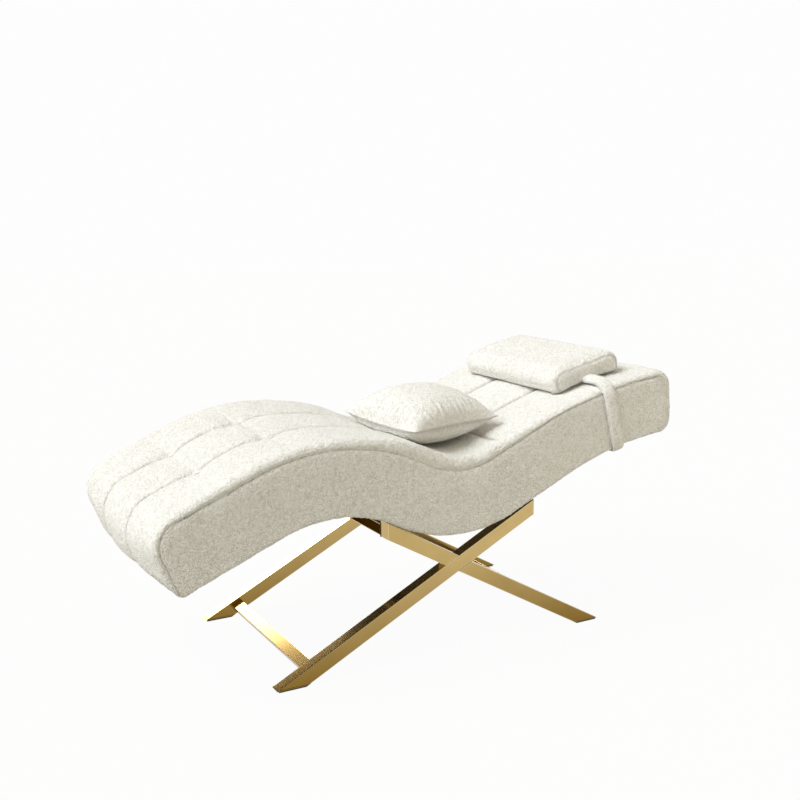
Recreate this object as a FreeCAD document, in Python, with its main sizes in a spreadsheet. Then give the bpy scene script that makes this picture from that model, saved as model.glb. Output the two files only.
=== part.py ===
# Curved lash bed: a wave-shaped, channel-sewn pad on a plywood carcass, carried by a crossed
# tube base, with a head pillow on a strap and a loose scatter cushion.
# Millimetres and degrees. +X runs from the foot end to the head end, +Z is up, and the
# origin is on the floor below the middle of the bed.
import FreeCAD, Part
import os

import Sketcher
from math import cos, pi, radians, sin

Vector = FreeCAD.Vector

# Driving sizes
SIZES = [
    # crossed base
    ("base_centre_x", 45.2), ("foot_spacing", 1188), ("base_width", 660),
    ("long_leg_run", 905), ("long_leg_slope", 26.8),
    ("short_leg_run", 819), ("short_leg_slope", 29.2),
    ("tube_depth", 45), ("tube_width", 40), ("tube_wall", 2),
    ("end_cap", 2), ("foot_plate", 3), ("foot_glide", 4), ("glide_inset", 14),
    ("stretcher_inset", 110), ("stretcher_width", 38), ("stretcher_drop", 13), ("stretcher_depth", 20),
    ("crossbar_thickness", 20), ("crossbar_height", 40),
    # brackets and fasteners between base and bed
    ("bracket_spacing", 420), ("bracket_width", 60), ("bracket_thickness", 5), ("bracket_lap", 30),
    ("flange_length", 40), ("bolt_offset", 12.5), ("bolt_radius", 3), ("bolt_hole_radius", 3.4),
    ("bolt_head_radius", 5.5), ("bolt_head_height", 4), ("washer_radius", 6.5), ("washer_thickness", 1.2),
    ("nut_radius", 5), ("nut_length", 15), ("nut_hole_radius", 5.1), ("nut_bore_radius", 3.1),
    # wave of the bed, measured along its side seam
    ("bed_clearance", 8), ("foot_slope", 22.5), ("foot_run", 321), ("crest_radius", 620),
    ("mid_slope", 26), ("mid_run", 45), ("dip_radius", 265), ("head_slope", 24.5),
    ("head_run", 228), ("head_radius", 1352), ("end_slope", 6), ("end_run", 68),
    ("foot_corner", 55), ("head_corner", 45), ("foot_low_corner", 16), ("head_low_corner", 40),
    # layers of the bed
    ("bed_width", 730), ("side_cover", 3), ("foam_depth", 105), ("deck_depth", 9),
    ("board_depth", 80), ("board_thickness", 18), ("dust_cover", 2),
    ("rail_depth", 25), ("rail_length", 45), ("rib_thickness", 18), ("foot_rib_run", 160),
    ("head_rib_slope", 14), ("seat_gap", 0.3),
    # quilted top cover
    ("edge_round", 22), ("channel_spacing", 244), ("channel_height", 11),
    ("crown_rise", 2),
    ("first_tuft_run", 225), ("second_tuft_slope", 10.6), ("dip_seam_run", 51),
    ("valley_radius", 90), ("valley_height", 16), ("tuft_radius", 26), ("tuft_height", 4),
    ("seam_radius", 8), ("seam_height", 15),
    # head pillow and its strap
    ("pillow_slope", 13.8), ("pillow_length", 274), ("pillow_width", 550), ("pillow_depth", 80),
    ("pillow_top_radius", 900), ("pillow_round", 26), ("pillow_cover", 4), ("pillow_seam", 53),
    ("pillow_gap", 0.4), ("strap_slope", 13.7), ("strap_width", 34), ("strap_thickness", 14),
    # loose cushion
    ("cushion_shift", -6.6), ("cushion_y", -136), ("cushion_rise", 111.7), ("cushion_press", 24),
    ("cushion_yaw", 15.3), ("cushion_pitch", 4.1), ("cushion_roll", 8.3),
    ("cushion_side", 350), ("cushion_drawn_in", 12), ("cushion_crown", 86),
    ("cushion_edge", 4), ("cushion_cover", 3),
]

# Places worked out from the driving sizes: joints and centres of the bed's wave along the seam
LAYOUT = [
    ("seam_depth", "Sizes.foam_depth + Sizes.deck_depth + Sizes.board_depth + Sizes.dust_cover"),
    ("inner_width", "Sizes.bed_width - 2 * Sizes.side_cover"),
    ("rib_width", "inner_width - 2 * Sizes.board_thickness"),
    ("rib_low", "Sizes.dust_cover + Sizes.seat_gap - seam_depth"),
    ("rib_depth", "Sizes.board_depth - 2 * Sizes.seat_gap"),
    ("left_tip_x", "Sizes.base_centre_x - Sizes.foot_spacing / 2"),
    ("right_tip_x", "Sizes.base_centre_x + Sizes.foot_spacing / 2"),
    ("long_top_x", "left_tip_x + Sizes.long_leg_run"),
    ("long_top_z", "Sizes.long_leg_run * tan(Sizes.long_leg_slope)"),
    ("long_low_z", "long_top_z - Sizes.tube_depth / cos(Sizes.long_leg_slope)"),
    ("short_top_x", "right_tip_x - Sizes.short_leg_run"),
    ("short_top_z", "Sizes.short_leg_run * tan(Sizes.short_leg_slope)"),
    ("short_low_z", "short_top_z - Sizes.tube_depth / cos(Sizes.short_leg_slope)"),
    ("leg_gap", "Sizes.base_width - 2 * Sizes.tube_width"),
    ("mid_in_x", "short_top_x + seam_depth * sin(Sizes.mid_slope)"),
    ("mid_in_z", "short_top_z + Sizes.bed_clearance + seam_depth * cos(Sizes.mid_slope)"),
    ("crest_x", "mid_in_x - Sizes.crest_radius * sin(Sizes.mid_slope)"),
    ("crest_z", "mid_in_z - Sizes.crest_radius * cos(Sizes.mid_slope)"),
    ("crest_in_x", "crest_x - Sizes.crest_radius * sin(Sizes.foot_slope)"),
    ("crest_in_z", "crest_z + Sizes.crest_radius * cos(Sizes.foot_slope)"),
    ("foot_x", "crest_in_x - Sizes.foot_run * cos(Sizes.foot_slope)"),
    ("foot_z", "crest_in_z - Sizes.foot_run * sin(Sizes.foot_slope)"),
    ("dip_in_x", "mid_in_x + Sizes.mid_run * cos(Sizes.mid_slope)"),
    ("dip_in_z", "mid_in_z - Sizes.mid_run * sin(Sizes.mid_slope)"),
    ("dip_x", "dip_in_x + Sizes.dip_radius * sin(Sizes.mid_slope)"),
    ("dip_z", "dip_in_z + Sizes.dip_radius * cos(Sizes.mid_slope)"),
    ("dip_out_x", "dip_x + Sizes.dip_radius * sin(Sizes.head_slope)"),
    ("dip_out_z", "dip_z - Sizes.dip_radius * cos(Sizes.head_slope)"),
    ("head_in_x", "dip_out_x + Sizes.head_run * cos(Sizes.head_slope)"),
    ("head_in_z", "dip_out_z + Sizes.head_run * sin(Sizes.head_slope)"),
    ("head_x", "head_in_x + Sizes.head_radius * sin(Sizes.head_slope)"),
    ("head_z", "head_in_z - Sizes.head_radius * cos(Sizes.head_slope)"),
    ("head_out_x", "head_x - Sizes.head_radius * sin(Sizes.end_slope)"),
    ("head_out_z", "head_z + Sizes.head_radius * cos(Sizes.end_slope)"),
    ("tip_x", "head_out_x + Sizes.end_run * cos(Sizes.end_slope)"),
    ("tip_z", "head_out_z + Sizes.end_run * sin(Sizes.end_slope)"),
    # lower corners of the bed at both ends
    ("foot_low_x", "foot_x + seam_depth * sin(Sizes.foot_slope)"),
    ("foot_low_z", "foot_z - seam_depth * cos(Sizes.foot_slope)"),
    ("tip_low_x", "tip_x + seam_depth * sin(Sizes.end_slope)"),
    ("tip_low_z", "tip_z - seam_depth * cos(Sizes.end_slope)"),
    # webs of the brackets, and how far along the flat stretches their flanges are centred
    ("foot_web_x", "short_top_x + Sizes.crossbar_thickness"),
    ("foot_flange_run", "(foot_web_x + Sizes.bracket_thickness / 2 - short_top_x) / cos(Sizes.mid_slope)"),
    ("head_web_x", "long_top_x - Sizes.crossbar_thickness - Sizes.bracket_thickness"),
    ("head_low_x", "dip_out_x + seam_depth * sin(Sizes.head_slope)"),
    ("head_flange_run", "(head_web_x + Sizes.bracket_thickness / 2 - head_low_x) / cos(Sizes.head_slope)"),
    # strips of the top cover between edges and channels, all crowned to one height
    ("crown_height", "Sizes.edge_round + Sizes.crown_rise"),
    ("channel_drop", "crown_height - Sizes.channel_height"),
    ("middle_strip_radius", "(Sizes.channel_spacing ^ 2 / 4 + channel_drop ^ 2) / (2 * channel_drop)"),
    ("strip_width", "(Sizes.bed_width - Sizes.channel_spacing) / 2 - Sizes.edge_round"),
    ("side_strip_radius", "strip_width ^ 2 / (2 * (sqrt(channel_drop) + sqrt(Sizes.crown_rise)) ^ 2)"),
    # strap path
    ("strap_top", "crown_height + Sizes.pillow_gap"),
    ("strap_side", "Sizes.bed_width / 2 + Sizes.pillow_gap"),
    ("strap_start", "Sizes.pillow_width / 2 - Sizes.pillow_round"),
    ("strap_bend", "2 * Sizes.pillow_gap"),
    ("strap_fall", "seam_depth + Sizes.pillow_gap - strap_bend"),
    # cushion resting in the dip
    ("cushion_x", "dip_x + Sizes.cushion_shift"),
    ("cushion_z", "dip_z - Sizes.dip_radius + crown_height + Sizes.pillow_gap + Sizes.cushion_rise"),
    ("cushion_belly", "Sizes.cushion_rise + Sizes.cushion_press"),
]

doc = FreeCAD.newDocument("lash_bed")
nodes = []


def make_sheet(name, rows):
    sheet = doc.addObject("Spreadsheet::Sheet", name)
    for row, (alias, content) in enumerate(rows, start=1):
        sheet.set(f"A{row}", alias)
        sheet.set(f"B{row}", str(content))
        sheet.setAlias(f"B{row}", alias)
    doc.recompute()
    return sheet


sizes = make_sheet("Sizes", SIZES)
make_sheet("Layout", [(alias, "=" + formula) for alias, formula in LAYOUT])


def value(expression):
    return float(sizes.evalExpression(str(expression)))


def bind(obj, **expressions):
    for name, expression in expressions.items():
        obj.setExpression(name, str(expression))
    return obj


def keep(obj, label):
    obj.Label = label
    nodes.append(obj)
    return obj


# A place on the bed or on a leg: from a point in the side view, turned to a slope, then moved
# outwards, along and across.
def place(x, z, slope, out=0, along=0, across=0, turn=""):
    px = f"{x} - ({out}) * sin({slope}) + ({along}) * cos({slope})"
    pz = f"{z} + ({out}) * cos({slope}) + ({along}) * sin({slope})"
    return f"placement(vector({px}; {across}; {pz}); rotation(vector(0; 1; 0); -({slope})){turn})"


SECTION = " * rotation(vector(1; 1; 1); 120)"
ACROSS = " * rotation(vector(1; 0; 0); 90)"


def upright(x, y, z):
    return f"placement(vector({x}; {y}; {z}); rotation(vector(0; 0; 1); 0))"


def box(name, where, length, width, height):
    obj = doc.addObject("Part::Box", name)
    return bind(obj, Length=length, Width=width, Height=height, Placement=where)


def cylinder(name, where, radius, height):
    obj = doc.addObject("Part::Cylinder", name)
    return bind(obj, Radius=radius, Height=height, Placement=where)


def cut(name, base, tool):
    obj = doc.addObject("Part::Cut", name)
    obj.Base = base
    obj.Tool = tool
    return obj


def common(name, base, tool):
    obj = doc.addObject("Part::Common", name)
    obj.Base = base
    obj.Tool = tool
    return obj


def fuse(name, shapes):
    obj = doc.addObject("Part::MultiFuse", name)
    obj.Shapes = shapes
    return obj


def group(label, shapes):
    obj = doc.addObject("Part::Compound", label)
    obj.Links = shapes
    return keep(obj, label)


# Sketch helpers
def constrain(sketch, name, expression, *definition):
    index = sketch.addConstraint(Sketcher.Constraint(*definition, value(expression)))
    sketch.renameConstraint(index, name)
    sketch.setExpression(f"Constraints.{name}", str(expression))


def constrain_angle(sketch, name, expression, line):
    index = sketch.addConstraint(Sketcher.Constraint("Angle", line, radians(value(expression))))
    sketch.renameConstraint(index, name)
    sketch.setExpression(f"Constraints.{name}", str(expression))


# A path of straight runs joined by tangent arcs. Runs are (heading, length); arcs are a radius.
def tangent_path(name, where, start_x, start_y, steps):
    sketch = doc.addObject("Sketcher::SketchObject", name)
    bind(sketch, Placement=where)
    point = Vector(value(start_x), value(start_y), 0)
    heading = value(steps[0][0])
    for index, step in enumerate(steps):
        if isinstance(step, tuple):
            heading = value(step[0])
            direction = Vector(cos(radians(heading)), sin(radians(heading)), 0)
            ahead = point + direction * value(step[1])
            sketch.addGeometry(Part.LineSegment(point, ahead))
            constrain_angle(sketch, f"heading_{index}", step[0], index)
            constrain(sketch, f"run_{index}", step[1], "Distance", index)
            entry = 1
        else:
            leaving = value(steps[index + 1][0])
            side = 1 if leaving > heading else -1
            radius = value(step)
            left = Vector(-sin(radians(heading)), cos(radians(heading)), 0)
            centre = point + left * (side * radius)
            angles = [radians(heading) - side * pi / 2, radians(leaving) - side * pi / 2]
            circle = Part.Circle(centre, Vector(0, 0, 1), radius)
            sketch.addGeometry(Part.ArcOfCircle(circle, *angles[::side]))
            constrain(sketch, f"radius_{index}", step, "Radius", index)
            ahead = centre + Vector(cos(angles[1]), sin(angles[1]), 0) * radius
            entry = 1 if side > 0 else 2
        if index == 0:
            constrain(sketch, "start_x", start_x, "DistanceX", -1, 1, 0, 1)
            constrain(sketch, "start_y", start_y, "DistanceY", -1, 1, 0, 1)
        else:
            sketch.addConstraint(Sketcher.Constraint("Tangent", index - 1, leave, index, entry))
        leave = 3 - entry
        point = ahead
    return sketch


def rectangle(name, where, width, height):
    sketch = doc.addObject("Sketcher::SketchObject", name)
    bind(sketch, Placement=where)
    wide, high = value(width), value(height)
    corners = [Vector(0, 0, 0), Vector(wide, 0, 0), Vector(wide, high, 0), Vector(0, high, 0)]
    for index in range(4):
        sketch.addGeometry(Part.LineSegment(corners[index], corners[(index + 1) % 4]))
    for index in range(4):
        sketch.addConstraint(Sketcher.Constraint("Coincident", index, 2, (index + 1) % 4, 1))
        direction = "Vertical" if index % 2 else "Horizontal"
        sketch.addConstraint(Sketcher.Constraint(direction, index))
    sketch.addConstraint(Sketcher.Constraint("Coincident", 0, 1, -1, 1))
    constrain(sketch, "width", width, "DistanceX", 0, 1, 0, 2)
    constrain(sketch, "height", height, "DistanceY", 1, 1, 1, 2)
    return sketch


def sweep(name, section, path):
    obj = doc.addObject("Part::Sweep", name)
    obj.Sections = [section]
    obj.Spine = (path, [f"Edge{index + 1}" for index in range(path.GeometryCount)])
    obj.Solid = True
    obj.Frenet = False
    return obj


SIDE_VIEW = "placement(vector(0; 0; 0); rotation(vector(1; 0; 0); 90))"

# The bed's wave along the seam, from the foot corner to the head corner
WAVE = [
    "Sizes.crest_radius", ("-Sizes.mid_slope", "Sizes.mid_run"),
    "Sizes.dip_radius", ("Sizes.head_slope", "Sizes.head_run"),
    "Sizes.head_radius",
]
spine_steps = [("Sizes.foot_slope", "Sizes.foot_run")] + WAVE + [("Sizes.end_slope", "Sizes.end_run")]
spine = tangent_path("spine", SIDE_VIEW, "Layout.foot_x", "Layout.foot_z", spine_steps)
FOOT = ("Layout.foot_x", "Layout.foot_z", "Sizes.foot_slope")


def bed_layer(name, low, depth, left, width):
    where = place(*FOOT, out=low, across=left, turn=SECTION)
    return sweep(name, rectangle(name + "_section", where, width, depth), spine)


# Rounds the corners of a layer where its edges across the bed pass nearest to the given points
def round_corners(name, base, corners):
    doc.recompute()
    edges = []
    for x, z, radius in corners:
        point = Vector(value(x), 0, value(z))

        def reach(index):
            edge = base.Shape.Edges[index]
            middle = (edge.Vertexes[0].Point + edge.Vertexes[-1].Point) * 0.5
            slant = abs(edge.Vertexes[0].Point.x - edge.Vertexes[-1].Point.x)
            return slant * 1000 + Vector(middle.x, 0, middle.z).distanceToPoint(point)

        nearest = min(range(len(base.Shape.Edges)), key=reach)
        edges.append((nearest + 1, value(radius), value(radius)))
    obj = doc.addObject("Part::Fillet", name)
    obj.Base = base
    obj.Edges = edges
    return obj


BED_CORNERS = [
    ("Layout.foot_x", "Layout.foot_z", "Sizes.foot_corner"),
    ("Layout.tip_x", "Layout.tip_z", "Sizes.head_corner"),
]
LOW_CORNERS = [
    ("Layout.foot_low_x", "Layout.foot_low_z", "Sizes.foot_low_corner"),
    ("Layout.tip_low_x", "Layout.tip_low_z", "Sizes.head_low_corner"),
]


# Base: two long legs, two crossing legs in halves, welded flush where they cross
LONG = ("Layout.left_tip_x", "0", "Sizes.long_leg_slope")
SHORT = ("Layout.right_tip_x", "0", "180 - Sizes.short_leg_slope")
LEG_SPARE = 150
ROOM = 2000


def leg_bar(name, tip, out, across, run, inset=0):
    reach = f"{run} / abs(cos({tip[2]})) + 2 * {LEG_SPARE}"
    where = place(*tip, out=f"{out} + {inset}", along=-LEG_SPARE, across=f"{across} + {inset}")
    return box(name, where, reach, f"Sizes.tube_width - 2 * {inset}", f"Sizes.tube_depth - 2 * {inset}")


def leg_blank(side, kind, tip, out, run, across):
    solid = leg_bar(f"{side}_{kind}_solid", tip, out, across, run)
    bore = leg_bar(f"{side}_{kind}_bore", tip, out, across, run, "Sizes.tube_wall")
    return solid, cut(f"{side}_{kind}_tube", solid, bore)


def slab(name, low_x, high_x, low_z, high_z):
    return box(name, upright(low_x, -ROOM / 2, low_z), f"{high_x} - ({low_x})", ROOM, f"{high_z} - ({low_z})")


FLOOR_TOP = "Sizes.foot_glide + Sizes.foot_plate"
caps, plates, glides = [], [], []
for side, across in (("near", "-Sizes.base_width / 2"), ("far", "Sizes.base_width / 2 - Sizes.tube_width")):
    long_solid, long_tube = leg_blank(side, "long", LONG, "-Sizes.tube_depth", "Sizes.long_leg_run", across)
    short_solid, short_tube = leg_blank(side, "short", SHORT, "0", "Sizes.short_leg_run", across)
    long_end = "Layout.long_top_x - Sizes.end_cap"
    short_end = "Layout.short_top_x + Sizes.end_cap"
    long_limit = slab(f"{side}_long_limit", f"Layout.left_tip_x - {ROOM}", long_end, FLOOR_TOP, ROOM)
    short_limit = slab(f"{side}_short_limit", short_end, f"Layout.right_tip_x + {ROOM}", FLOOR_TOP, ROOM)
    keep(common(f"{side}_long", long_tube, long_limit), f"{side}_long_leg")
    short_leg = common(f"{side}_short", short_tube, short_limit)
    under_place = place(*LONG, out=-ROOM, along=-ROOM, across=-ROOM / 2)
    over_place = place(*LONG, out="-Sizes.tube_depth", along=-ROOM, across=-ROOM / 2)
    under = box(f"{side}_under_long_leg", under_place, 2 * ROOM, ROOM, ROOM)
    over = box(f"{side}_over_long_leg", over_place, 2 * ROOM, ROOM, ROOM)
    keep(cut(f"{side}_upper", short_leg, under), f"{side}_upper_cross_leg")
    keep(cut(f"{side}_lower", short_leg, over), f"{side}_lower_cross_leg")
    long_cap = slab(f"{side}_long_cap_slab", long_end, "Layout.long_top_x", 0, ROOM)
    short_cap = slab(f"{side}_short_cap_slab", "Layout.short_top_x", short_end, 0, ROOM)
    caps.append(common(f"{side}_long_cap", long_solid, long_cap))
    caps.append(common(f"{side}_short_cap", short_solid, short_cap))
    for kind, solid in (("long", long_solid), ("short", short_solid)):
        span = (f"Layout.left_tip_x - {ROOM}", f"Layout.right_tip_x + {ROOM}")
        plate = slab(f"{side}_{kind}_plate_slab", *span, "Sizes.foot_glide", FLOOR_TOP)
        glide = slab(f"{side}_{kind}_glide_slab", "Layout.left_tip_x + Sizes.glide_inset",
                     "Layout.right_tip_x - Sizes.glide_inset", 0, "Sizes.foot_glide")
        plates.append(common(f"{side}_{kind}_plate", solid, plate))
        glides.append(common(f"{side}_{kind}_glide", solid, glide))
group("leg_end_caps", caps)
group("foot_plates", plates)
group("floor_glides", glides)


def hollow_bar(label, where, bore_where, length, width, height):
    wall = "2 * Sizes.tube_wall"
    outer = box(label + "_outer", where, length, width, height)
    bore = box(label + "_bore", bore_where, f"{length} - {wall}", width, f"{height} - {wall}")
    return keep(cut(label + "_tube", outer, bore), label)


# Stretchers just above the feet, lying along the slope of their legs
GAP_LOW = "-Layout.leg_gap / 2"
for label, tip, out in (("foot_stretcher", LONG, "-Sizes.stretcher_drop - Sizes.stretcher_depth"),
                        ("head_stretcher", SHORT, "Sizes.stretcher_drop")):
    start = place(*tip, out=out, along="Sizes.stretcher_inset", across=GAP_LOW)
    inner = place(*tip, out=f"{out} + Sizes.tube_wall", along="Sizes.stretcher_inset + Sizes.tube_wall",
                  across=GAP_LOW)
    hollow_bar(label, start, inner, "Sizes.stretcher_width", "Layout.leg_gap", "Sizes.stretcher_depth")

# Crossbars flush with the cut tops of the legs
for label, low_x, low_z in (
        ("foot_crossbar", "Layout.short_top_x", "Layout.short_low_z"),
        ("head_crossbar", "Layout.long_top_x - Sizes.crossbar_thickness", "Layout.long_low_z")):
    start = upright(low_x, GAP_LOW, low_z)
    inner = upright(f"{low_x} + Sizes.tube_wall", GAP_LOW, f"{low_z} + Sizes.tube_wall")
    hollow_bar(label, start, inner, "Sizes.crossbar_thickness", "Layout.leg_gap", "Sizes.crossbar_height")

# Brackets from the crossbars to the flat stretches of the underside, with their bolts
FOOT_FLAT = ("Layout.mid_in_x", "Layout.mid_in_z", "-Sizes.mid_slope")
HEAD_FLAT = ("Layout.dip_out_x", "Layout.dip_out_z", "Sizes.head_slope")
UNDERSIDE = "-Layout.seam_depth"
BRACKETS = [
    ("foot", FOOT_FLAT, "Layout.foot_flange_run", "Layout.foot_web_x",
     "Layout.short_low_z + Sizes.crossbar_height"),
    ("head", HEAD_FLAT, "Layout.head_flange_run", "Layout.head_web_x",
     "Layout.long_low_z + Sizes.crossbar_height"),
]
bolts, washers, nuts, dust_holes = [], [], [], []
rail_holes = {"foot": [], "head": []}
for end, flat, run, web_x, bar_top in BRACKETS:
    pair = []
    flange_z = (f"{flat[1]} + ({UNDERSIDE} - Sizes.bracket_thickness / 2) * cos({flat[2]})"
                f" + {run} * sin({flat[2]})")
    for side, middle in (("near", "-Sizes.bracket_spacing / 2"), ("far", "Sizes.bracket_spacing / 2")):
        name = f"{end}_{side}_bracket"
        low_y = f"{middle} - Sizes.bracket_width / 2"
        flange_place = place(*flat, out=f"{UNDERSIDE} - Sizes.bracket_thickness",
                             along=f"{run} - Sizes.flange_length / 2", across=low_y)
        flange = box(name + "_flange", flange_place, "Sizes.flange_length", "Sizes.bracket_width",
                     "Sizes.bracket_thickness")
        web_low = f"{bar_top} - Sizes.bracket_lap"
        web = box(name + "_web", upright(web_x, low_y, web_low), "Sizes.bracket_thickness",
                  "Sizes.bracket_width", f"{flange_z} - ({web_low})")
        bracket_holes = []
        for number, offset in ((1, "-Sizes.bolt_offset"), (2, "Sizes.bolt_offset")):
            tag = f"{end}_{side}_{number}"

            def bolt_place(out):
                return place(*flat, out=f"{UNDERSIDE} - Sizes.bracket_thickness + {out}",
                             along=f"{run} + {offset}", across=middle)

            reach = "Sizes.bracket_thickness + Sizes.dust_cover + Sizes.seat_gap + Sizes.nut_length"
            hole = cylinder(f"hole_{tag}", bolt_place("-2 * Sizes.washer_thickness"), "Sizes.bolt_hole_radius",
                            f"{reach} + 4 * Sizes.washer_thickness")
            bracket_holes.append(hole)
            dust_holes.append(hole)
            nut_low = "Sizes.bracket_thickness + Sizes.dust_cover + Sizes.seat_gap"
            nut_hole = cylinder(f"nut_hole_{tag}", bolt_place(f"{nut_low} - 1"), "Sizes.nut_hole_radius",
                                "Sizes.rail_depth + 2")
            rail_holes[end].append(nut_hole)
            head = doc.addObject("Part::Prism", f"bolt_head_{tag}")
            bind(head, Circumradius="Sizes.bolt_head_radius", Height="Sizes.bolt_head_height",
                 Placement=bolt_place("-Sizes.washer_thickness - Sizes.bolt_head_height"))
            shank = cylinder(f"bolt_shank_{tag}", bolt_place("-Sizes.washer_thickness"), "Sizes.bolt_radius",
                             f"Sizes.washer_thickness + {reach}")
            bolts.append(fuse(f"bolt_{tag}", [head, shank]))
            ring = cylinder(f"ring_{tag}", bolt_place("-Sizes.washer_thickness"), "Sizes.washer_radius",
                            "Sizes.washer_thickness")
            washers.append(cut(f"washer_{tag}", ring, hole))
            barrel = cylinder(f"barrel_{tag}", bolt_place(nut_low), "Sizes.nut_radius", "Sizes.nut_length")
            bore = cylinder(f"nut_bore_{tag}", bolt_place(nut_low), "Sizes.nut_bore_radius", "Sizes.nut_length")
            nuts.append(cut(f"nut_{tag}", barrel, bore))
        bracket = fuse(name + "_blank", [flange, web])
        pair.append(cut(name, bracket, fuse(name + "_holes", bracket_holes)))
    group(f"{end}_brackets", pair)
group("mount_bolts", bolts)
group("mount_washers", washers)
group("insert_nuts", nuts)

# Carcass: wave-cut side boards, ribs, mounting rails and the bent deck
BOARD_LOW = "Sizes.dust_cover - Layout.seam_depth"
HALF_INNER = "Layout.inner_width / 2"
for side, left in (("near", f"-{HALF_INNER}"), ("far", f"{HALF_INNER} - Sizes.board_thickness")):
    board = bed_layer(f"{side}_board", BOARD_LOW, "Sizes.board_depth", left, "Sizes.board_thickness")
    keep(round_corners(f"{side}_board_rounded", board, LOW_CORNERS), f"{side}_side_board")
keep(bed_layer("deck", "-Sizes.foam_depth - Sizes.deck_depth", "Sizes.deck_depth", f"-{HALF_INNER}",
               "Layout.inner_width"), "bent_deck")
CREST = ("Layout.crest_x", "Layout.crest_z")
DIP = ("Layout.dip_x", "Layout.dip_z")
HEAD = ("Layout.head_x", "Layout.head_z")
TIP = ("Layout.tip_x", "Layout.tip_z", "Sizes.end_slope")
HALF_RIB = "Sizes.rib_thickness / 2"
RIBS = [
    ("foot_end_rail", FOOT, "0", "Sizes.foot_low_corner"),
    ("foot_rib", FOOT, "0", "Sizes.foot_rib_run"),
    ("crest_rib", CREST + ("0",), "Sizes.crest_radius", f"-{HALF_RIB}"),
    ("dip_rib", DIP + ("0",), "-Sizes.dip_radius", f"-{HALF_RIB}"),
    ("head_rib", HEAD + ("Sizes.head_rib_slope",), "Sizes.head_radius", f"-{HALF_RIB}"),
    ("head_end_rail", TIP, "0", "-Sizes.rib_thickness - Sizes.head_low_corner"),
]
for label, station, lift, along in RIBS:
    where = place(*station, out=f"{lift} + Layout.rib_low", along=along, across="-Layout.rib_width / 2")
    keep(box(label + "_blank", where, "Sizes.rib_thickness", "Layout.rib_width", "Layout.rib_depth"), label)
for end, flat, run, _, _ in BRACKETS:
    where = place(*flat, out="Layout.rib_low", along=f"{run} - Sizes.rail_length / 2",
                  across="-Layout.rib_width / 2")
    rail = box(f"{end}_rail_blank", where, "Sizes.rail_length", "Layout.rib_width", "Sizes.rail_depth")
    keep(cut(f"{end}_rail", rail, fuse(f"{end}_rail_holes", rail_holes[end])), f"{end}_mount_rail")

# Upholstery: foam, side covers and the cover under the carcass
foam = bed_layer("foam", "-Sizes.foam_depth", "Sizes.foam_depth", f"-{HALF_INNER}", "Layout.inner_width")
keep(round_corners("foam_rounded", foam, BED_CORNERS), "foam_pad")
for side, left in (("near", "-Sizes.bed_width / 2"), ("far", HALF_INNER)):
    panel = bed_layer(f"{side}_panel", UNDERSIDE, "Layout.seam_depth", left, "Sizes.side_cover")
    keep(round_corners(f"{side}_panel_rounded", panel, BED_CORNERS + LOW_CORNERS), f"{side}_side_cover")
dust = bed_layer("dust", UNDERSIDE, "Sizes.dust_cover", f"-{HALF_INNER}", "Layout.inner_width")
keep(cut("dust_drilled", dust, fuse("dust_holes", dust_holes)), "underside_cover")

# Quilted top cover: three crowned strips between two sewn channels, wrapped down both ends
cover_steps = (
    [("Sizes.foot_slope + 90", "Layout.seam_depth - Sizes.foot_corner"), "Sizes.foot_corner",
     ("Sizes.foot_slope", "Sizes.foot_run - Sizes.foot_corner")]
    + WAVE
    + [("Sizes.end_slope", "Sizes.end_run - Sizes.head_corner"), "Sizes.head_corner",
       ("Sizes.end_slope - 90", "Layout.seam_depth - Sizes.head_corner")])
cover_path = tangent_path("cover_path", SIDE_VIEW, "Layout.foot_low_x", "Layout.foot_low_z", cover_steps)


def arc_between(first, last, radius):
    chord = last - first
    middle = (first + last) * 0.5
    drop = (radius * radius - chord.Length ** 2 / 4) ** 0.5
    down = Vector(-chord.y, chord.x, 0).normalize()
    centre = middle + down * drop
    start, end = first - centre, last - centre
    circle = Part.Circle(centre, Vector(0, 0, 1), radius)
    return Part.ArcOfCircle(circle, Vector(1, 0, 0).getAngle(start), Vector(1, 0, 0).getAngle(end))


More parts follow.
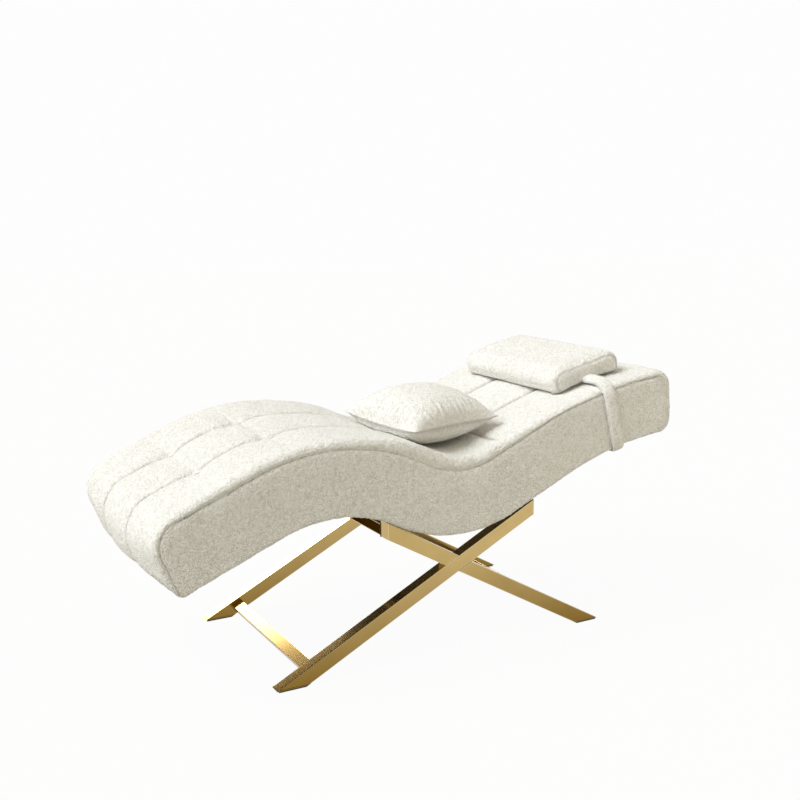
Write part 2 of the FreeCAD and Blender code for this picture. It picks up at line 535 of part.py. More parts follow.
def cover_section(name, lift):
    where = place("Layout.foot_low_x", "Layout.foot_low_z", "Sizes.foot_slope + 90", out=lift, turn=SECTION)
    sketch = doc.addObject("Sketcher::SketchObject", name)
    bind(sketch, Placement=where)
    half = value("Sizes.bed_width / 2")
    edge = value("Sizes.edge_round")
    channel = value("Sizes.channel_spacing / 2")
    low = value("Sizes.channel_height")
    shoulder, groove = Vector(half - edge, edge, 0), Vector(channel, low, 0)
    mirrored = [Vector(-point.x, point.y, 0) for point in (groove, shoulder)]
    side_radius, middle_radius = value("Layout.side_strip_radius"), value("Layout.middle_strip_radius")
    rim = Part.Circle(Vector(half - edge, 0, 0), Vector(0, 0, 1), edge)
    far_rim = Part.Circle(Vector(edge - half, 0, 0), Vector(0, 0, 1), edge)
    for curve in (Part.LineSegment(Vector(-half, 0, 0), Vector(half, 0, 0)),
                  Part.ArcOfCircle(rim, 0, pi / 2),
                  arc_between(shoulder, groove, side_radius),
                  arc_between(groove, mirrored[0], middle_radius),
                  arc_between(mirrored[0], mirrored[1], side_radius),
                  Part.ArcOfCircle(far_rim, pi / 2, pi)):
        sketch.addGeometry(curve)
    for index in range(6):
        sketch.addConstraint(Sketcher.Constraint("Coincident", index, 2, (index + 1) % 6, 1))
    sketch.addConstraint(Sketcher.Constraint("Symmetric", 0, 1, 0, 2, -1, 1))
    sketch.addConstraint(Sketcher.Constraint("Horizontal", 0))
    constrain(sketch, "width", "Sizes.bed_width", "Distance", 0)
    for index, top in ((1, 2), (5, 1)):
        sketch.addConstraint(Sketcher.Constraint("PointOnObject", index, 3, -1))
        sketch.addConstraint(Sketcher.Constraint("Vertical", index, 3, index, top))
        constrain(sketch, f"edge_{index}", "Sizes.edge_round", "Radius", index)
    for index, radius in ((2, "side"), (3, "middle"), (4, "side")):
        constrain(sketch, f"strip_{index}", f"Layout.{radius}_strip_radius", "Radius", index)
    constrain(sketch, "channel_width", "Sizes.channel_spacing", "DistanceX", 3, 2, 3, 1)
    constrain(sketch, "channel_height", "Sizes.channel_height", "DistanceY", -1, 1, 3, 1)
    sketch.addConstraint(Sketcher.Constraint("Symmetric", 3, 1, 3, 2, -2))
    return sketch


# Rows across the bed: a soft valley through each row of tufts, and the sewn line in the dip
ACROSS_START = "Sizes.bed_width / 2 + 10"
ACROSS_LENGTH = "Sizes.bed_width + 20"


def furrow(name, station, lift, along, radius, height):
    where = place(*station, out=f"{lift} + {height} + {radius}", along=along, across=ACROSS_START, turn=ACROSS)
    return cylinder(name, where, radius, ACROSS_LENGTH)


TUFT_ROWS = [
    ("first", FOOT, "0", "Sizes.first_tuft_run"),
    ("second", CREST + ("Sizes.second_tuft_slope",), "Sizes.crest_radius", "0"),
]
dents = [furrow("dip_seam", HEAD_FLAT, "0", "Sizes.dip_seam_run", "Sizes.seam_radius", "Sizes.seam_height")]
for row, station, lift, along in TUFT_ROWS:
    dents.append(furrow(f"{row}_valley", station, lift, along, "Sizes.valley_radius", "Sizes.valley_height"))
    for side, across in (("near", "-Sizes.channel_spacing / 2"), ("far", "Sizes.channel_spacing / 2")):
        tuft = doc.addObject("Part::Sphere", f"{row}_{side}_tuft")
        where = place(*station, out=f"{lift} + Sizes.tuft_height + Sizes.tuft_radius", along=along,
                      across=across)
        dents.append(bind(tuft, Radius="Sizes.tuft_radius", Placement=where))
cover_blank = sweep("top_cover_blank", cover_section("top_cover_section", "0"), cover_path)
keep(cut("top_cover_tufted", cover_blank, fuse("dents", dents)), "quilted_top_cover")

# Head pillow: a rounded slab bent to the head's arc, cover in two panels, on a strap round the bed
PILLOW = HEAD + ("Sizes.pillow_slope",)
PILLOW_LOW = "Sizes.head_radius + Layout.strap_top"


def pillow_solid(name, inset):
    where = place(*PILLOW, out=f"{PILLOW_LOW} + {inset}", across=f"Sizes.pillow_width / 2 - {inset}",
                  turn=ACROSS)
    sketch = doc.addObject("Sketcher::SketchObject", name + "_outline")
    bind(sketch, Placement=where)
    length = f"Sizes.pillow_length - 2 * {inset}"
    depth = f"Sizes.pillow_depth - 2 * {inset}"
    low_radius = f"{PILLOW_LOW} + {inset}"
    half, high = value(length) / 2, value(depth)
    sag = half ** 2 / (2 * value(low_radius))
    low = [Vector(-half, -sag, 0), Vector(half, -sag, 0)]
    top = [Vector(half, high - sag, 0), Vector(-half, high - sag, 0)]
    bottom = arc_between(low[1], low[0], value(low_radius))
    for curve in (bottom, Part.LineSegment(low[1], top[0]),
                  arc_between(top[0], top[1], value("Sizes.pillow_top_radius")),
                  Part.LineSegment(top[1], low[0])):
        sketch.addGeometry(curve)
    for first, leave, second, entry in ((0, 1, 1, 1), (1, 2, 2, 1), (2, 2, 3, 1), (3, 2, 0, 2)):
        sketch.addConstraint(Sketcher.Constraint("Coincident", first, leave, second, entry))
    sketch.addConstraint(Sketcher.Constraint("Vertical", 1))
    sketch.addConstraint(Sketcher.Constraint("Vertical", 3))
    sketch.addConstraint(Sketcher.Constraint("PointOnObject", 0, 3, -2))
    sketch.addConstraint(Sketcher.Constraint("Equal", 1, 3))
    constrain(sketch, "low_radius", low_radius, "Radius", 0)
    constrain(sketch, "low_centre", low_radius, "DistanceY", 0, 3, -1, 1)
    constrain(sketch, "front_half", f"({length}) / 2", "DistanceX", 0, 2, -1, 1)
    constrain(sketch, "back_half", f"({length}) / 2", "DistanceX", -1, 1, 0, 1)
    constrain(sketch, "side", depth, "Distance", 1)
    constrain(sketch, "top_radius", "Sizes.pillow_top_radius", "Radius", 2)
    block = doc.addObject("Part::Extrusion", name + "_block")
    block.Base = sketch
    block.DirMode = "Normal"
    block.Solid = True
    bind(block, LengthFwd=f"Sizes.pillow_width - 2 * {inset}")
    doc.recompute()
    radius = value(f"Sizes.pillow_round - {inset}")
    solid = doc.addObject("Part::Fillet", name)
    solid.Base = block
    solid.Edges = [(index + 1, radius, radius) for index in range(len(block.Shape.Edges))]
    return solid


pillow = pillow_solid("pillow_outer", "0")
core = keep(pillow_solid("pillow_filling", "Sizes.pillow_cover"), "pillow_core")
pillow_shell = cut("pillow_shell", pillow, core)
upper_place = place(*PILLOW, out=f"{PILLOW_LOW} + Sizes.pillow_seam", along=-ROOM / 2, across=-ROOM / 2)
upper_half = box("pillow_upper_half", upper_place, ROOM, ROOM, ROOM)
keep(common("pillow_top", pillow_shell, upper_half), "pillow_top_cover")
keep(cut("pillow_base", pillow_shell, upper_half), "pillow_base_cover")

STRAP = HEAD + ("Sizes.strap_slope",)
strap_place = place(*STRAP, out="Sizes.head_radius", turn=SECTION)
STRAP_TOP_RUN = "Layout.strap_side - Layout.strap_top - Layout.strap_start"
strap_steps = [
    ("180", STRAP_TOP_RUN), "Layout.strap_top", ("270", "Layout.strap_fall"), "Layout.strap_bend",
    ("360", "2 * (Layout.strap_side - Layout.strap_bend)"),
    "Layout.strap_bend", ("450", "Layout.strap_fall"), "Layout.strap_top", ("540", STRAP_TOP_RUN),
]
strap_path = tangent_path("strap_path", strap_place, "-Layout.strap_start", "Layout.strap_top", strap_steps)
strap_corner = place(*STRAP, out="Sizes.head_radius + Layout.strap_top", along="-Sizes.strap_width / 2",
                     across="-Layout.strap_start", turn=ACROSS)
strap_section = rectangle("strap_section", strap_corner, "Sizes.strap_width", "Sizes.strap_thickness")
keep(cut("strap_trimmed", sweep("strap_band", strap_section, strap_path), pillow), "pillow_strap")

# Loose cushion: lens sections with a crown, knife edges and sides drawn in between the corners
CUSHION = ("placement(vector(Layout.cushion_x; Sizes.cushion_y; Layout.cushion_z);"
           " rotation(vector(0; 0; 1); Sizes.cushion_yaw) * rotation(vector(0; 1; 0); -Sizes.cushion_pitch)"
           " * rotation(vector(1; 0; 0); Sizes.cushion_roll))")
STATIONS = [-1, -0.8, -0.45, 0, 0.45, 0.8, 1]


def lens(where, half, crown, belly):
    left, right = Vector(-half, 0, 0), Vector(half, 0, 0)
    top = Part.Arc(right, Vector(0, crown, 0), left).toShape()
    bottom = Part.Arc(left, Vector(0, -belly, 0), right).toShape()
    wire = Part.Wire([top, bottom])
    wire.Placement = where
    return wire


def cushion_solid(name, inset, lift):
    edge = value("Sizes.cushion_edge")
    half = value(f"Sizes.cushion_side / 2 - 2 * {inset}")
    crown = value(f"Sizes.cushion_crown - {inset}")
    belly = value(f"Layout.cushion_belly - {inset}")
    middle = Vector(value("Layout.cushion_x"), value("Sizes.cushion_y"), value("Layout.cushion_z"))
    turns = [value("Sizes.cushion_yaw"), -value("Sizes.cushion_pitch"), value("Sizes.cushion_roll")]
    lying = FreeCAD.Placement(middle, FreeCAD.Rotation(*turns))
    upright_section = FreeCAD.Rotation(Vector(1, 1, 1), 120)
    wires = []
    for station in STATIONS:
        swell = 1 - abs(station) ** 2.5
        drawn = (1 - station ** 2) * value("Sizes.cushion_drawn_in")
        where = lying * FreeCAD.Placement(Vector(station * half, 0, 0), upright_section)
        wires.append(lens(where, half - drawn, edge + swell * (crown - edge), edge + swell * (belly - edge)))
    loft = doc.addObject("Part::Feature", name + "_loft")
    loft.Shape = Part.makeLoft(wires, True, False)
    seat = sweep(name + "_seat", cover_section(name + "_seat_section", lift), cover_path)
    below = bed_layer(name + "_below", "-Sizes.foam_depth", f"Sizes.foam_depth + {lift}", f"-{HALF_INNER}",
                      "Layout.inner_width")
    return cut(name, cut(name + "_rested", loft, seat), below)


cushion = cushion_solid("cushion_outer", "0", "Sizes.pillow_gap")
filling = cushion_solid("cushion_inner", "Sizes.cushion_cover", "Sizes.pillow_gap + Sizes.cushion_cover")
keep(filling, "cushion_filling")
cushion_shell = cut("cushion_shell", cushion, filling)
over_seam = box("cushion_over_seam", f"{CUSHION} * {upright(-ROOM / 2, -ROOM / 2, 0)}", ROOM, ROOM, ROOM)
keep(common("cushion_top", cushion_shell, over_seam), "cushion_top_panel")
keep(cut("cushion_bottom", cushion_shell, over_seam), "cushion_bottom_panel")

doc.recompute()


# Every object has to be sound before anything is written
def check_document():
    for obj in doc.Objects:
        if "Invalid" in obj.State or "Error" in obj.State:
            raise RuntimeError(f"{obj.Label} failed: {obj.getStatusString()}")
    for node in nodes:
        if node.Shape.isNull() or not node.Shape.isValid():
            raise RuntimeError(f"{node.Label} has no sound shape")


check_document()
os.makedirs("parts", exist_ok=True)
for node in nodes:
    node.Shape.exportStep(f"parts/{node.Label}.step")
    bounds = node.Shape.BoundBox
    print(f"{node.Label}: {len(node.Shape.Solids)} solids, {node.Shape.Volume / 1000:.1f} cm3,",
          f"x {bounds.XMin:.1f} {bounds.XMax:.1f}, z {bounds.ZMin:.1f} {bounds.ZMax:.1f}")
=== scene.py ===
# Curved lash bed: upholstery, pillow, cushion and finishes around the fixed frame.
# Metres and degrees. +X runs from the foot end to the head end, +Z is up.
from math import ceil, cos, pi, radians, sin

import bpy
import numpy as np
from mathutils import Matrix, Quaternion, Vector


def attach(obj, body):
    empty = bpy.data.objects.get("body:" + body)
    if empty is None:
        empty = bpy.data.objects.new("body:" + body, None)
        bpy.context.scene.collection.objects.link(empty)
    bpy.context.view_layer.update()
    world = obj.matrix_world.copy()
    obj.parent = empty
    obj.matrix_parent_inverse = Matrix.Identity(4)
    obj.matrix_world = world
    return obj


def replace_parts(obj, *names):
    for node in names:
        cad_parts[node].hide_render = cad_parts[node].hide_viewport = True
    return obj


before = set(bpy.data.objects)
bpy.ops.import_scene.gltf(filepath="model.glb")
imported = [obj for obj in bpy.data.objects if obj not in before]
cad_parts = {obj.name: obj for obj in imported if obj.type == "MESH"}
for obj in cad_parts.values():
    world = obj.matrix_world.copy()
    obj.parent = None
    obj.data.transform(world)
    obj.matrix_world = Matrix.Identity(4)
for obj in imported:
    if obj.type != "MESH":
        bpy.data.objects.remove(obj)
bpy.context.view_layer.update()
scene = bpy.context.scene
WHITE = (1, 1, 1)
TINY = 1e-6

# Wave of the bed along its side seam, as in the frame
FOOT_X, FOOT_Z = -0.8995, 0.5346
FOOT_SLOPE, MID_SLOPE, HEAD_SLOPE, END_SLOPE = 22.5, 26.0, 24.5, 6.0
FOOT_RUN, MID_RUN, HEAD_RUN, END_RUN = 0.321, 0.045, 0.228, 0.068
CREST_RADIUS, DIP_RADIUS, HEAD_RADIUS = 0.620, 0.265, 1.352
HEAD_CORNER, FOOT_LOW, HEAD_LOW = 0.045, 0.016, 0.040
SEAM_DEPTH = 0.196
HALF_WIDTH = 0.365
# The upper corner at the foot end, where the covers are rounder than the frame's 0.055
FOOT_CORNER = 0.070
# Spacing of the points on the covers
GRID_STEP = 0.0034
# How far the cover's seam is set in from the head end of the boards, and sits lower along the head
HEAD_IN = 0.004
SEAM_SAG, SAG_FROM, SAG_TO = 0.007, 1.36, 1.56


# A route of straight runs and tangent turns in a plane: each leg is (start, length, x, z, heading, bend)
def lay_route(x, z, heading, steps):
    legs, start = [], 0.0
    for kind, size, angle in steps:
        length = size if kind == "run" else size * abs(radians(angle))
        bend = 0.0 if kind == "run" else (1 if angle > 0 else -1) / size
        legs.append((start, length, x, z, heading, bend))
        if bend:
            ahead = heading + radians(angle)
            x += (sin(ahead) - sin(heading)) / bend
            z -= (cos(ahead) - cos(heading)) / bend
            heading = ahead
        else:
            x += length * cos(heading)
            z += length * sin(heading)
        start += length
    return legs


def route_length(legs):
    return legs[-1][0] + legs[-1][1]


# Points and headings along a route; past its ends it goes straight on
def along(legs, runs):
    runs = np.asarray(runs, float)
    x, z, heading = np.zeros_like(runs), np.zeros_like(runs), np.zeros_like(runs)
    for index, (start, length, x0, z0, heading0, bend) in enumerate(legs):
        low = -np.inf if index == 0 else start
        high = np.inf if index == len(legs) - 1 else start + length
        mine = (runs >= low) & (runs < high)
        t = runs[mine] - start
        if bend:
            heading[mine] = heading0 + bend * t
            x[mine] = x0 + (np.sin(heading[mine]) - sin(heading0)) / bend
            z[mine] = z0 - (np.cos(heading[mine]) - cos(heading0)) / bend
        else:
            heading[mine] = heading0
            x[mine] = x0 + t * cos(heading0)
            z[mine] = z0 + t * sin(heading0)
    return x, z, heading


def run(length):
    return ("run", length, 0.0)


def turn(radius, angle):
    return ("turn", radius, angle)


WAVE = [
    turn(CREST_RADIUS, -FOOT_SLOPE - MID_SLOPE), run(MID_RUN),
    turn(DIP_RADIUS, MID_SLOPE + HEAD_SLOPE), run(HEAD_RUN),
    turn(HEAD_RADIUS, END_SLOPE - HEAD_SLOPE),
]
seam_route = lay_route(FOOT_X, FOOT_Z, radians(FOOT_SLOPE), [run(FOOT_RUN)] + WAVE + [run(END_RUN)])
SEAM_LENGTH = route_length(seam_route)

# The cover's own route starts under the foot end, and ends under the head end
TUCK = 0.030
tuck_x = FOOT_X + SEAM_DEPTH * sin(radians(FOOT_SLOPE)) + (TUCK + FOOT_LOW) * cos(radians(FOOT_SLOPE))
tuck_z = FOOT_Z - SEAM_DEPTH * cos(radians(FOOT_SLOPE)) + (TUCK + FOOT_LOW) * sin(radians(FOOT_SLOPE))
cover_route = lay_route(tuck_x, tuck_z, radians(FOOT_SLOPE + 180), [
    run(TUCK), turn(FOOT_LOW, -90), run(SEAM_DEPTH - FOOT_LOW - FOOT_CORNER), turn(FOOT_CORNER, -90),
    run(FOOT_RUN - FOOT_CORNER), *WAVE, run(END_RUN - HEAD_CORNER - HEAD_IN), turn(HEAD_CORNER, -90),
    run(SEAM_DEPTH - HEAD_LOW - HEAD_CORNER), turn(HEAD_LOW, -90), run(TUCK),
])
COVER_LENGTH = route_length(cover_route)
# How far the cover's run is ahead of the seam's on the wave
FIRST_TOP_LEG = 4
COVER_LEAD = cover_route[FIRST_TOP_LEG][0] - FOOT_CORNER


# Curves that the shapes are drawn with
def smooth_step(low, high, values):
    t = np.clip((np.asarray(values, float) - low) / (high - low), 0, 1)
    return t * t * (3 - 2 * t)


def bell(values, width):
    return np.exp(-(np.asarray(values, float) / width) ** 2)


def signed_power(values, power):
    return np.sign(values) * np.abs(values) ** power


# Meshes, with the share of the painted seam shade as a value on each point
def shade_smooth(mesh):
    mesh.polygons.foreach_set("use_smooth", [True] * len(mesh.polygons))


def mark_seam(mesh, values):
    attribute = mesh.attributes.new("seam", "FLOAT", "POINT")
    attribute.data.foreach_set("value", np.asarray(values, np.float32))


def add_mesh(name, points, faces, material, seam=None):
    mesh = bpy.data.meshes.new(name)
    mesh.from_pydata(np.asarray(points).tolist(), [], faces)
    mesh.update()
    shade_smooth(mesh)
    if seam is not None:
        mark_seam(mesh, seam)
    mesh.materials.append(material)
    obj = bpy.data.objects.new(name, mesh)
    scene.collection.objects.link(obj)
    return obj


def mesh_points(obj):
    flat = np.empty(3 * len(obj.data.vertices))
    obj.data.vertices.foreach_get("co", flat)
    return flat.reshape(-1, 3)


def set_points(obj, points):
    obj.data.vertices.foreach_set("co", np.asarray(points, float).reshape(-1))
    obj.data.update()


def grid_faces(rows, columns, ring=False):
    faces = []
    for row in range(rows - 1):
        for column in range(columns if ring else columns - 1):
            ahead = (column + 1) % columns
            faces.append((row * columns + column, row * columns + ahead,
                          (row + 1) * columns + ahead, (row + 1) * columns + column))
    return faces


# Rings of points joined to a tube, closed at both ends
def tube_faces(rings, columns):
    faces = grid_faces(rings, columns, ring=True)
    last = (rings - 1) * columns
    faces.append(tuple(range(columns))[::-1])
    faces.append(tuple(range(last, last + columns)))
    return faces


def flipped(faces):
    return [face[::-1] for face in faces]


# Nap of the fabric as real relief: curled loops, then a slower unevenness
NAP_SIZE, NAP_DEPTH = 0.0045, 0.0042
LOFT_SIZE, LOFT_DEPTH = 0.060, 0.0030
STRAP_NAP, CUSHION_NAP = 0.6, 0.4


def relief(obj, name, size, depth):
    texture = bpy.data.textures.get(name) or bpy.data.textures.new(name, "CLOUDS")
    texture.noise_scale = size
    displace = obj.modifiers.new(name, "DISPLACE")
    displace.texture = texture
    displace.texture_coords = "LOCAL"
    displace.strength = depth
    displace.mid_level = 0.5


def add_nap(obj, strength=1.0):
    relief(obj, "loft", LOFT_SIZE, LOFT_DEPTH * strength)
    relief(obj, "nap", NAP_SIZE, NAP_DEPTH * strength)


# Node materials
def new_material(name):
    material = bpy.data.materials.new(name)
    material.use_nodes = True
    nodes = material.node_tree.nodes
    return material, nodes, material.node_tree.links, nodes["Principled BSDF"]


def texture_node(nodes, links, scale, coordinates, **settings):
    node = nodes.new("ShaderNodeTexNoise")
    node.inputs["Scale"].default_value = scale
    for key, value in settings.items():
        node.inputs[key].default_value = value
    links.new(coordinates, node.inputs["Vector"])
    return node


def ramp(nodes, links, source, stops):
    node = nodes.new("ShaderNodeValToRGB")
    for element, (position, colour) in zip(node.color_ramp.elements, stops):
        element.position = position
        element.color = (*colour, 1)
    links.new(source, node.inputs["Fac"])
    return node.outputs["Color"]


def mix_colour(nodes, links, kind, factor, first, second):
    node = nodes.new("ShaderNodeMix")
    node.data_type = "RGBA"
    node.blend_type = kind
    if isinstance(factor, float):
        node.inputs["Factor"].default_value = factor
    else:
        links.new(factor, node.inputs["Factor"])
    links.new(first, node.inputs[6])
    if isinstance(second, tuple):
        node.inputs[7].default_value = (*second, 1)
    else:
        links.new(second, node.inputs[7])
    return node.outputs[2]


def add_bump(nodes, links, shader, height, strength, distance):
    bump = nodes.new("ShaderNodeBump")
    bump.inputs["Strength"].default_value = strength
    bump.inputs["Distance"].default_value = distance
    links.new(height, bump.inputs["Height"])
    links.new(bump.outputs["Normal"], shader.inputs["Normal"])


# Boucle: pale loops over gaps darkened with painted shade, finer curls on them, and a slow drift of tone
BOUCLE_LOOP, BOUCLE_GAP_SHADE, LOOP_AT, GAP_SHADE_AT = (0.925, 0.91, 0.865), (0.74, 0.72, 0.655), 0.50, 0.37
BOUCLE_DULL, DULL_AT, CLEAR_AT = (0.975, 0.97, 0.96), 0.35, 0.65
# Dark colour of the painted shade in the seams, grooves and tuft pits
BOUCLE_SEAM_SHADE = (0.27, 0.24, 0.19)
LOOP_SCALE, LOOP_TWIST, CURL_SCALE, CURL_TWIST, DRIFT_SCALE = 125, 1.6, 330, 0.8, 7
CURL_SHARE, BOUCLE_BUMP, BOUCLE_RISE = 0.35, 0.85, 0.007
BOUCLE_ROUGHNESS, BOUCLE_GLOSS, BOUCLE_SHEEN, SHEEN_ROUGHNESS = 0.95, 0.15, 0.25, 0.5


def boucle_material():
    material, nodes, links, shader = new_material("cream_boucle")
    place = nodes.new("ShaderNodeTexCoord").outputs["Object"]
    loops = texture_node(nodes, links, LOOP_SCALE, place, Detail=1, Distortion=LOOP_TWIST)
    curls = texture_node(nodes, links, CURL_SCALE, place, Detail=2, Distortion=CURL_TWIST)
    drift = texture_node(nodes, links, DRIFT_SCALE, place, Detail=3)
    # The gap colour is painted shade between the loops
    colour = ramp(nodes, links, loops.outputs["Fac"], [(GAP_SHADE_AT, BOUCLE_GAP_SHADE), (LOOP_AT, BOUCLE_LOOP)])
    tint = ramp(nodes, links, drift.outputs["Fac"], [(DULL_AT, BOUCLE_DULL), (CLEAR_AT, WHITE)])
    colour = mix_colour(nodes, links, "MULTIPLY", 1.0, colour, tint)
    # Painted shade in the seams, grooves and tuft pits, mixed in by the mesh's seam value
    seam = nodes.new("ShaderNodeAttribute")
    seam.attribute_name = "seam"
    colour = mix_colour(nodes, links, "MIX", seam.outputs["Fac"], colour, BOUCLE_SEAM_SHADE)
    links.new(colour, shader.inputs["Base Color"])
    shader.inputs["Roughness"].default_value = BOUCLE_ROUGHNESS
    shader.inputs["Specular IOR Level"].default_value = BOUCLE_GLOSS
    shader.inputs["Sheen Weight"].default_value = BOUCLE_SHEEN
    shader.inputs["Sheen Roughness"].default_value = SHEEN_ROUGHNESS
    height = nodes.new("ShaderNodeMath")
    height.operation = "MULTIPLY_ADD"
    height.inputs[1].default_value = CURL_SHARE
    links.new(curls.outputs["Fac"], height.inputs[0])
    links.new(loops.outputs["Fac"], height.inputs[2])
    add_bump(nodes, links, shader, height.outputs["Value"], BOUCLE_BUMP, BOUCLE_RISE)
    return material


# Gold: brushed streaks, cloudy patches, and painted shade that darkens it towards the floor
GOLD, GOLD_DARK, GOLD_CLOUD = (0.62, 0.455, 0.195), (0.58, 0.42, 0.175), (0.92, 0.91, 0.88)
# Height and colour of the painted shade towards the floor
GOLD_SHADE_HEIGHT, GOLD_LOW_SHADE = 0.34, (0.42, 0.34, 0.15)
GOLD_ROUGHNESS = 0.12
STREAK_WIDTH, STREAK_LENGTH, CLOUD_SCALE = 0.002, 0.15, 14
# Painted shade and dark painted reflections on the crossbars, over the same gold
CROSSBAR_SHADE, CROSSBAR_SHADE_RIM = (0.12, 0.13, 0.22), (0.26, 0.20, 0.15)
# Painted highlight along the eased edges of the tubes
EDGE_HIGHLIGHT = (1.4, 1.6, 2.4)
CROSS_TONE = (0.94, 0.93, 0.88)
GRAIN_LOW, GRAIN_HIGH = 0.3, 0.7


# Brushed metal, with its streaks along the given slope or across the bed
def gold_material(name, slope, across=False, tone=WHITE, rim=WHITE):
    material, nodes, links, shader = new_material(name)
    place = nodes.new("ShaderNodeTexCoord").outputs["Object"]
    mapping = nodes.new("ShaderNodeMapping")
    mapping.vector_type = "TEXTURE"
    mapping.inputs["Rotation"].default_value = (0, -radians(slope), 0)
    streak = [STREAK_WIDTH] * 3
    streak[1 if across else 0] = STREAK_LENGTH
    mapping.inputs["Scale"].default_value = streak
    links.new(place, mapping.inputs["Vector"])
    streaks = texture_node(nodes, links, 1.0, mapping.outputs["Vector"], Detail=4)
    clouds = texture_node(nodes, links, CLOUD_SCALE, place, Detail=2)
    colour = ramp(nodes, links, streaks.outputs["Fac"], [(GRAIN_LOW, GOLD_DARK), (GRAIN_HIGH, GOLD)])
    shade = ramp(nodes, links, clouds.outputs["Fac"], [(GRAIN_LOW, GOLD_CLOUD), (GRAIN_HIGH, WHITE)])
    colour = mix_colour(nodes, links, "MULTIPLY", 1.0, colour, shade)
    # Painted shade: darker towards the floor, standing in for the dim reflections near it
    split = nodes.new("ShaderNodeSeparateXYZ")
    links.new(place, split.inputs["Vector"])
    height = nodes.new("ShaderNodeMapRange")
    height.inputs["From Max"].default_value = GOLD_SHADE_HEIGHT
    links.new(split.outputs["Z"], height.inputs["Value"])
    low_shade = ramp(nodes, links, height.outputs["Result"], [(0.0, GOLD_LOW_SHADE), (1.0, WHITE)])
    colour = mix_colour(nodes, links, "MULTIPLY", 1.0, colour, low_shade)
    links.new(mix_colour(nodes, links, "MULTIPLY", 1.0, colour, tone), shader.inputs["Base Color"])
    shader.inputs["Roughness"].default_value = GOLD_ROUGHNESS
    shader.inputs["Metallic"].default_value = 1.0
    shader.inputs["Specular Tint"].default_value = (*rim, 1)
    return material


# Grained materials of the pieces that hardly show
GRAIN_BUMP, GRAIN_RISE = 0.3, 0.001


def plain_material(name, dark, light, scale, roughness, metallic=0.0, stretch=(1, 1, 1)):
    material, nodes, links, shader = new_material(name)
    place = nodes.new("ShaderNodeTexCoord").outputs["Object"]
    mapping = nodes.new("ShaderNodeMapping")
    mapping.inputs["Scale"].default_value = stretch
    links.new(place, mapping.inputs["Vector"])
    grain = texture_node(nodes, links, scale, mapping.outputs["Vector"], Detail=5)
    colour = ramp(nodes, links, grain.outputs["Fac"], [(GRAIN_LOW, dark), (GRAIN_HIGH, light)])
    links.new(colour, shader.inputs["Base Color"])
    shader.inputs["Roughness"].default_value = roughness
    shader.inputs["Metallic"].default_value = metallic
    add_bump(nodes, links, shader, grain.outputs["Fac"], GRAIN_BUMP, GRAIN_RISE)
    return material


boucle = boucle_material()
plywood = plain_material("plywood", (0.42, 0.28, 0.15), (0.62, 0.45, 0.27),
                         scale=30, roughness=0.6, stretch=(0.1, 1, 1))
foam = plain_material("upholstery_foam", (0.62, 0.58, 0.45), (0.74, 0.70, 0.57),
                      scale=400, roughness=0.95)
zinc = plain_material("zinc_steel", (0.42, 0.42, 0.42), (0.55, 0.55, 0.54),
                      scale=200, roughness=0.35, metallic=1.0)
glide = plain_material("glide_rubber", (0.018, 0.015, 0.012), (0.035, 0.03, 0.025),
                       scale=300, roughness=0.6)
cloth = plain_material("underside_cloth", (0.14, 0.13, 0.115), (0.20, 0.185, 0.165),
                       scale=900, roughness=0.9)

# Quilted cover: its crown over the seam, as (run along the wave, height)
CROWN = (
    (0.0, 0.025), (0.12, 0.027), (0.25, 0.030), (0.62, 0.030), (0.72, 0.036),
    (0.83, 0.048), (0.92, 0.050), (1.0, 0.044), (1.124, 0.035), (1.25, 0.027),
    (1.42, 0.017), (1.50, 0.013), (1.75, 0.012), (1.80, 0.014), (1.87, 0.026),
)
CROWN_RUNS, CROWN_HEIGHTS = zip(*CROWN)
# Three strips, divided by two sewn channels, which bulge at the ends of the bed
CHANNEL_Y, CHANNEL_DEPTH, CHANNEL_SHARE = 0.122, 0.012, 0.6
EDGE_START = 0.334
STRIP_POWER, STRIP_ROOT = 2.6, 0.62
FOOT_BULGE, HEAD_BULGE, BULGE_FROM, BULGE_TO = 0.019, 0.006, -0.03, 0.07


# Height over the seam surface, at a run along the wave and a place across
def strip_height(runs, across):
    crown = np.interp(runs, CROWN_RUNS, CROWN_HEIGHTS)
    drop = np.minimum(CHANNEL_DEPTH, CHANNEL_SHARE * crown)
    wide = np.abs(across)
    middle = np.clip(wide / CHANNEL_Y, 0, 1)
    half_side = (EDGE_START - CHANNEL_Y) / 2
    side = np.clip((wide - CHANNEL_Y - half_side) / half_side, -1, 0)
    u = np.where(wide < CHANNEL_Y, middle, -side)
    foot_end = FOOT_BULGE * smooth_step(BULGE_FROM, BULGE_TO, -runs)
    head_end = HEAD_BULGE * smooth_step(BULGE_FROM, BULGE_TO, runs - SEAM_LENGTH)
    ends = (foot_end + head_end) * (1 - (wide / EDGE_START) ** 2)
    return crown - drop + drop * (1 - u ** STRIP_POWER) ** STRIP_ROOT + ends


# Into the strips: tufts with valleys and creases, grooves, the seam in the dip, and lower corners
TUFT_RUNS, TUFT_DEPTH, TUFT_WIDTH = (0.225, 0.452), 0.016, 0.025
VALLEY_DEPTH, VALLEY_WIDTH, VALLEY_REACH, VALLEY_LEAST = 0.007, 0.050, 0.11, 0.45
CREASE_DEPTH, CREASE_WIDTH = 0.003, 0.010
SEWN_IN, SEWN_OUT = 0.26, 0.35
GROOVE_DEPTH, GROOVE_WIDTH = 0.0080, 0.0085
DIP_SEAM_RUN, DIP_SEAM_DEPTH, DIP_SEAM_WIDTH = 1.176, 0.009, 0.012
CORNER_DROP, CORNER_RUN, CORNER_END, CORNER_IN = 0.004, 0.22, 0.04, 0.16
LEAST_HEIGHT = 0.003


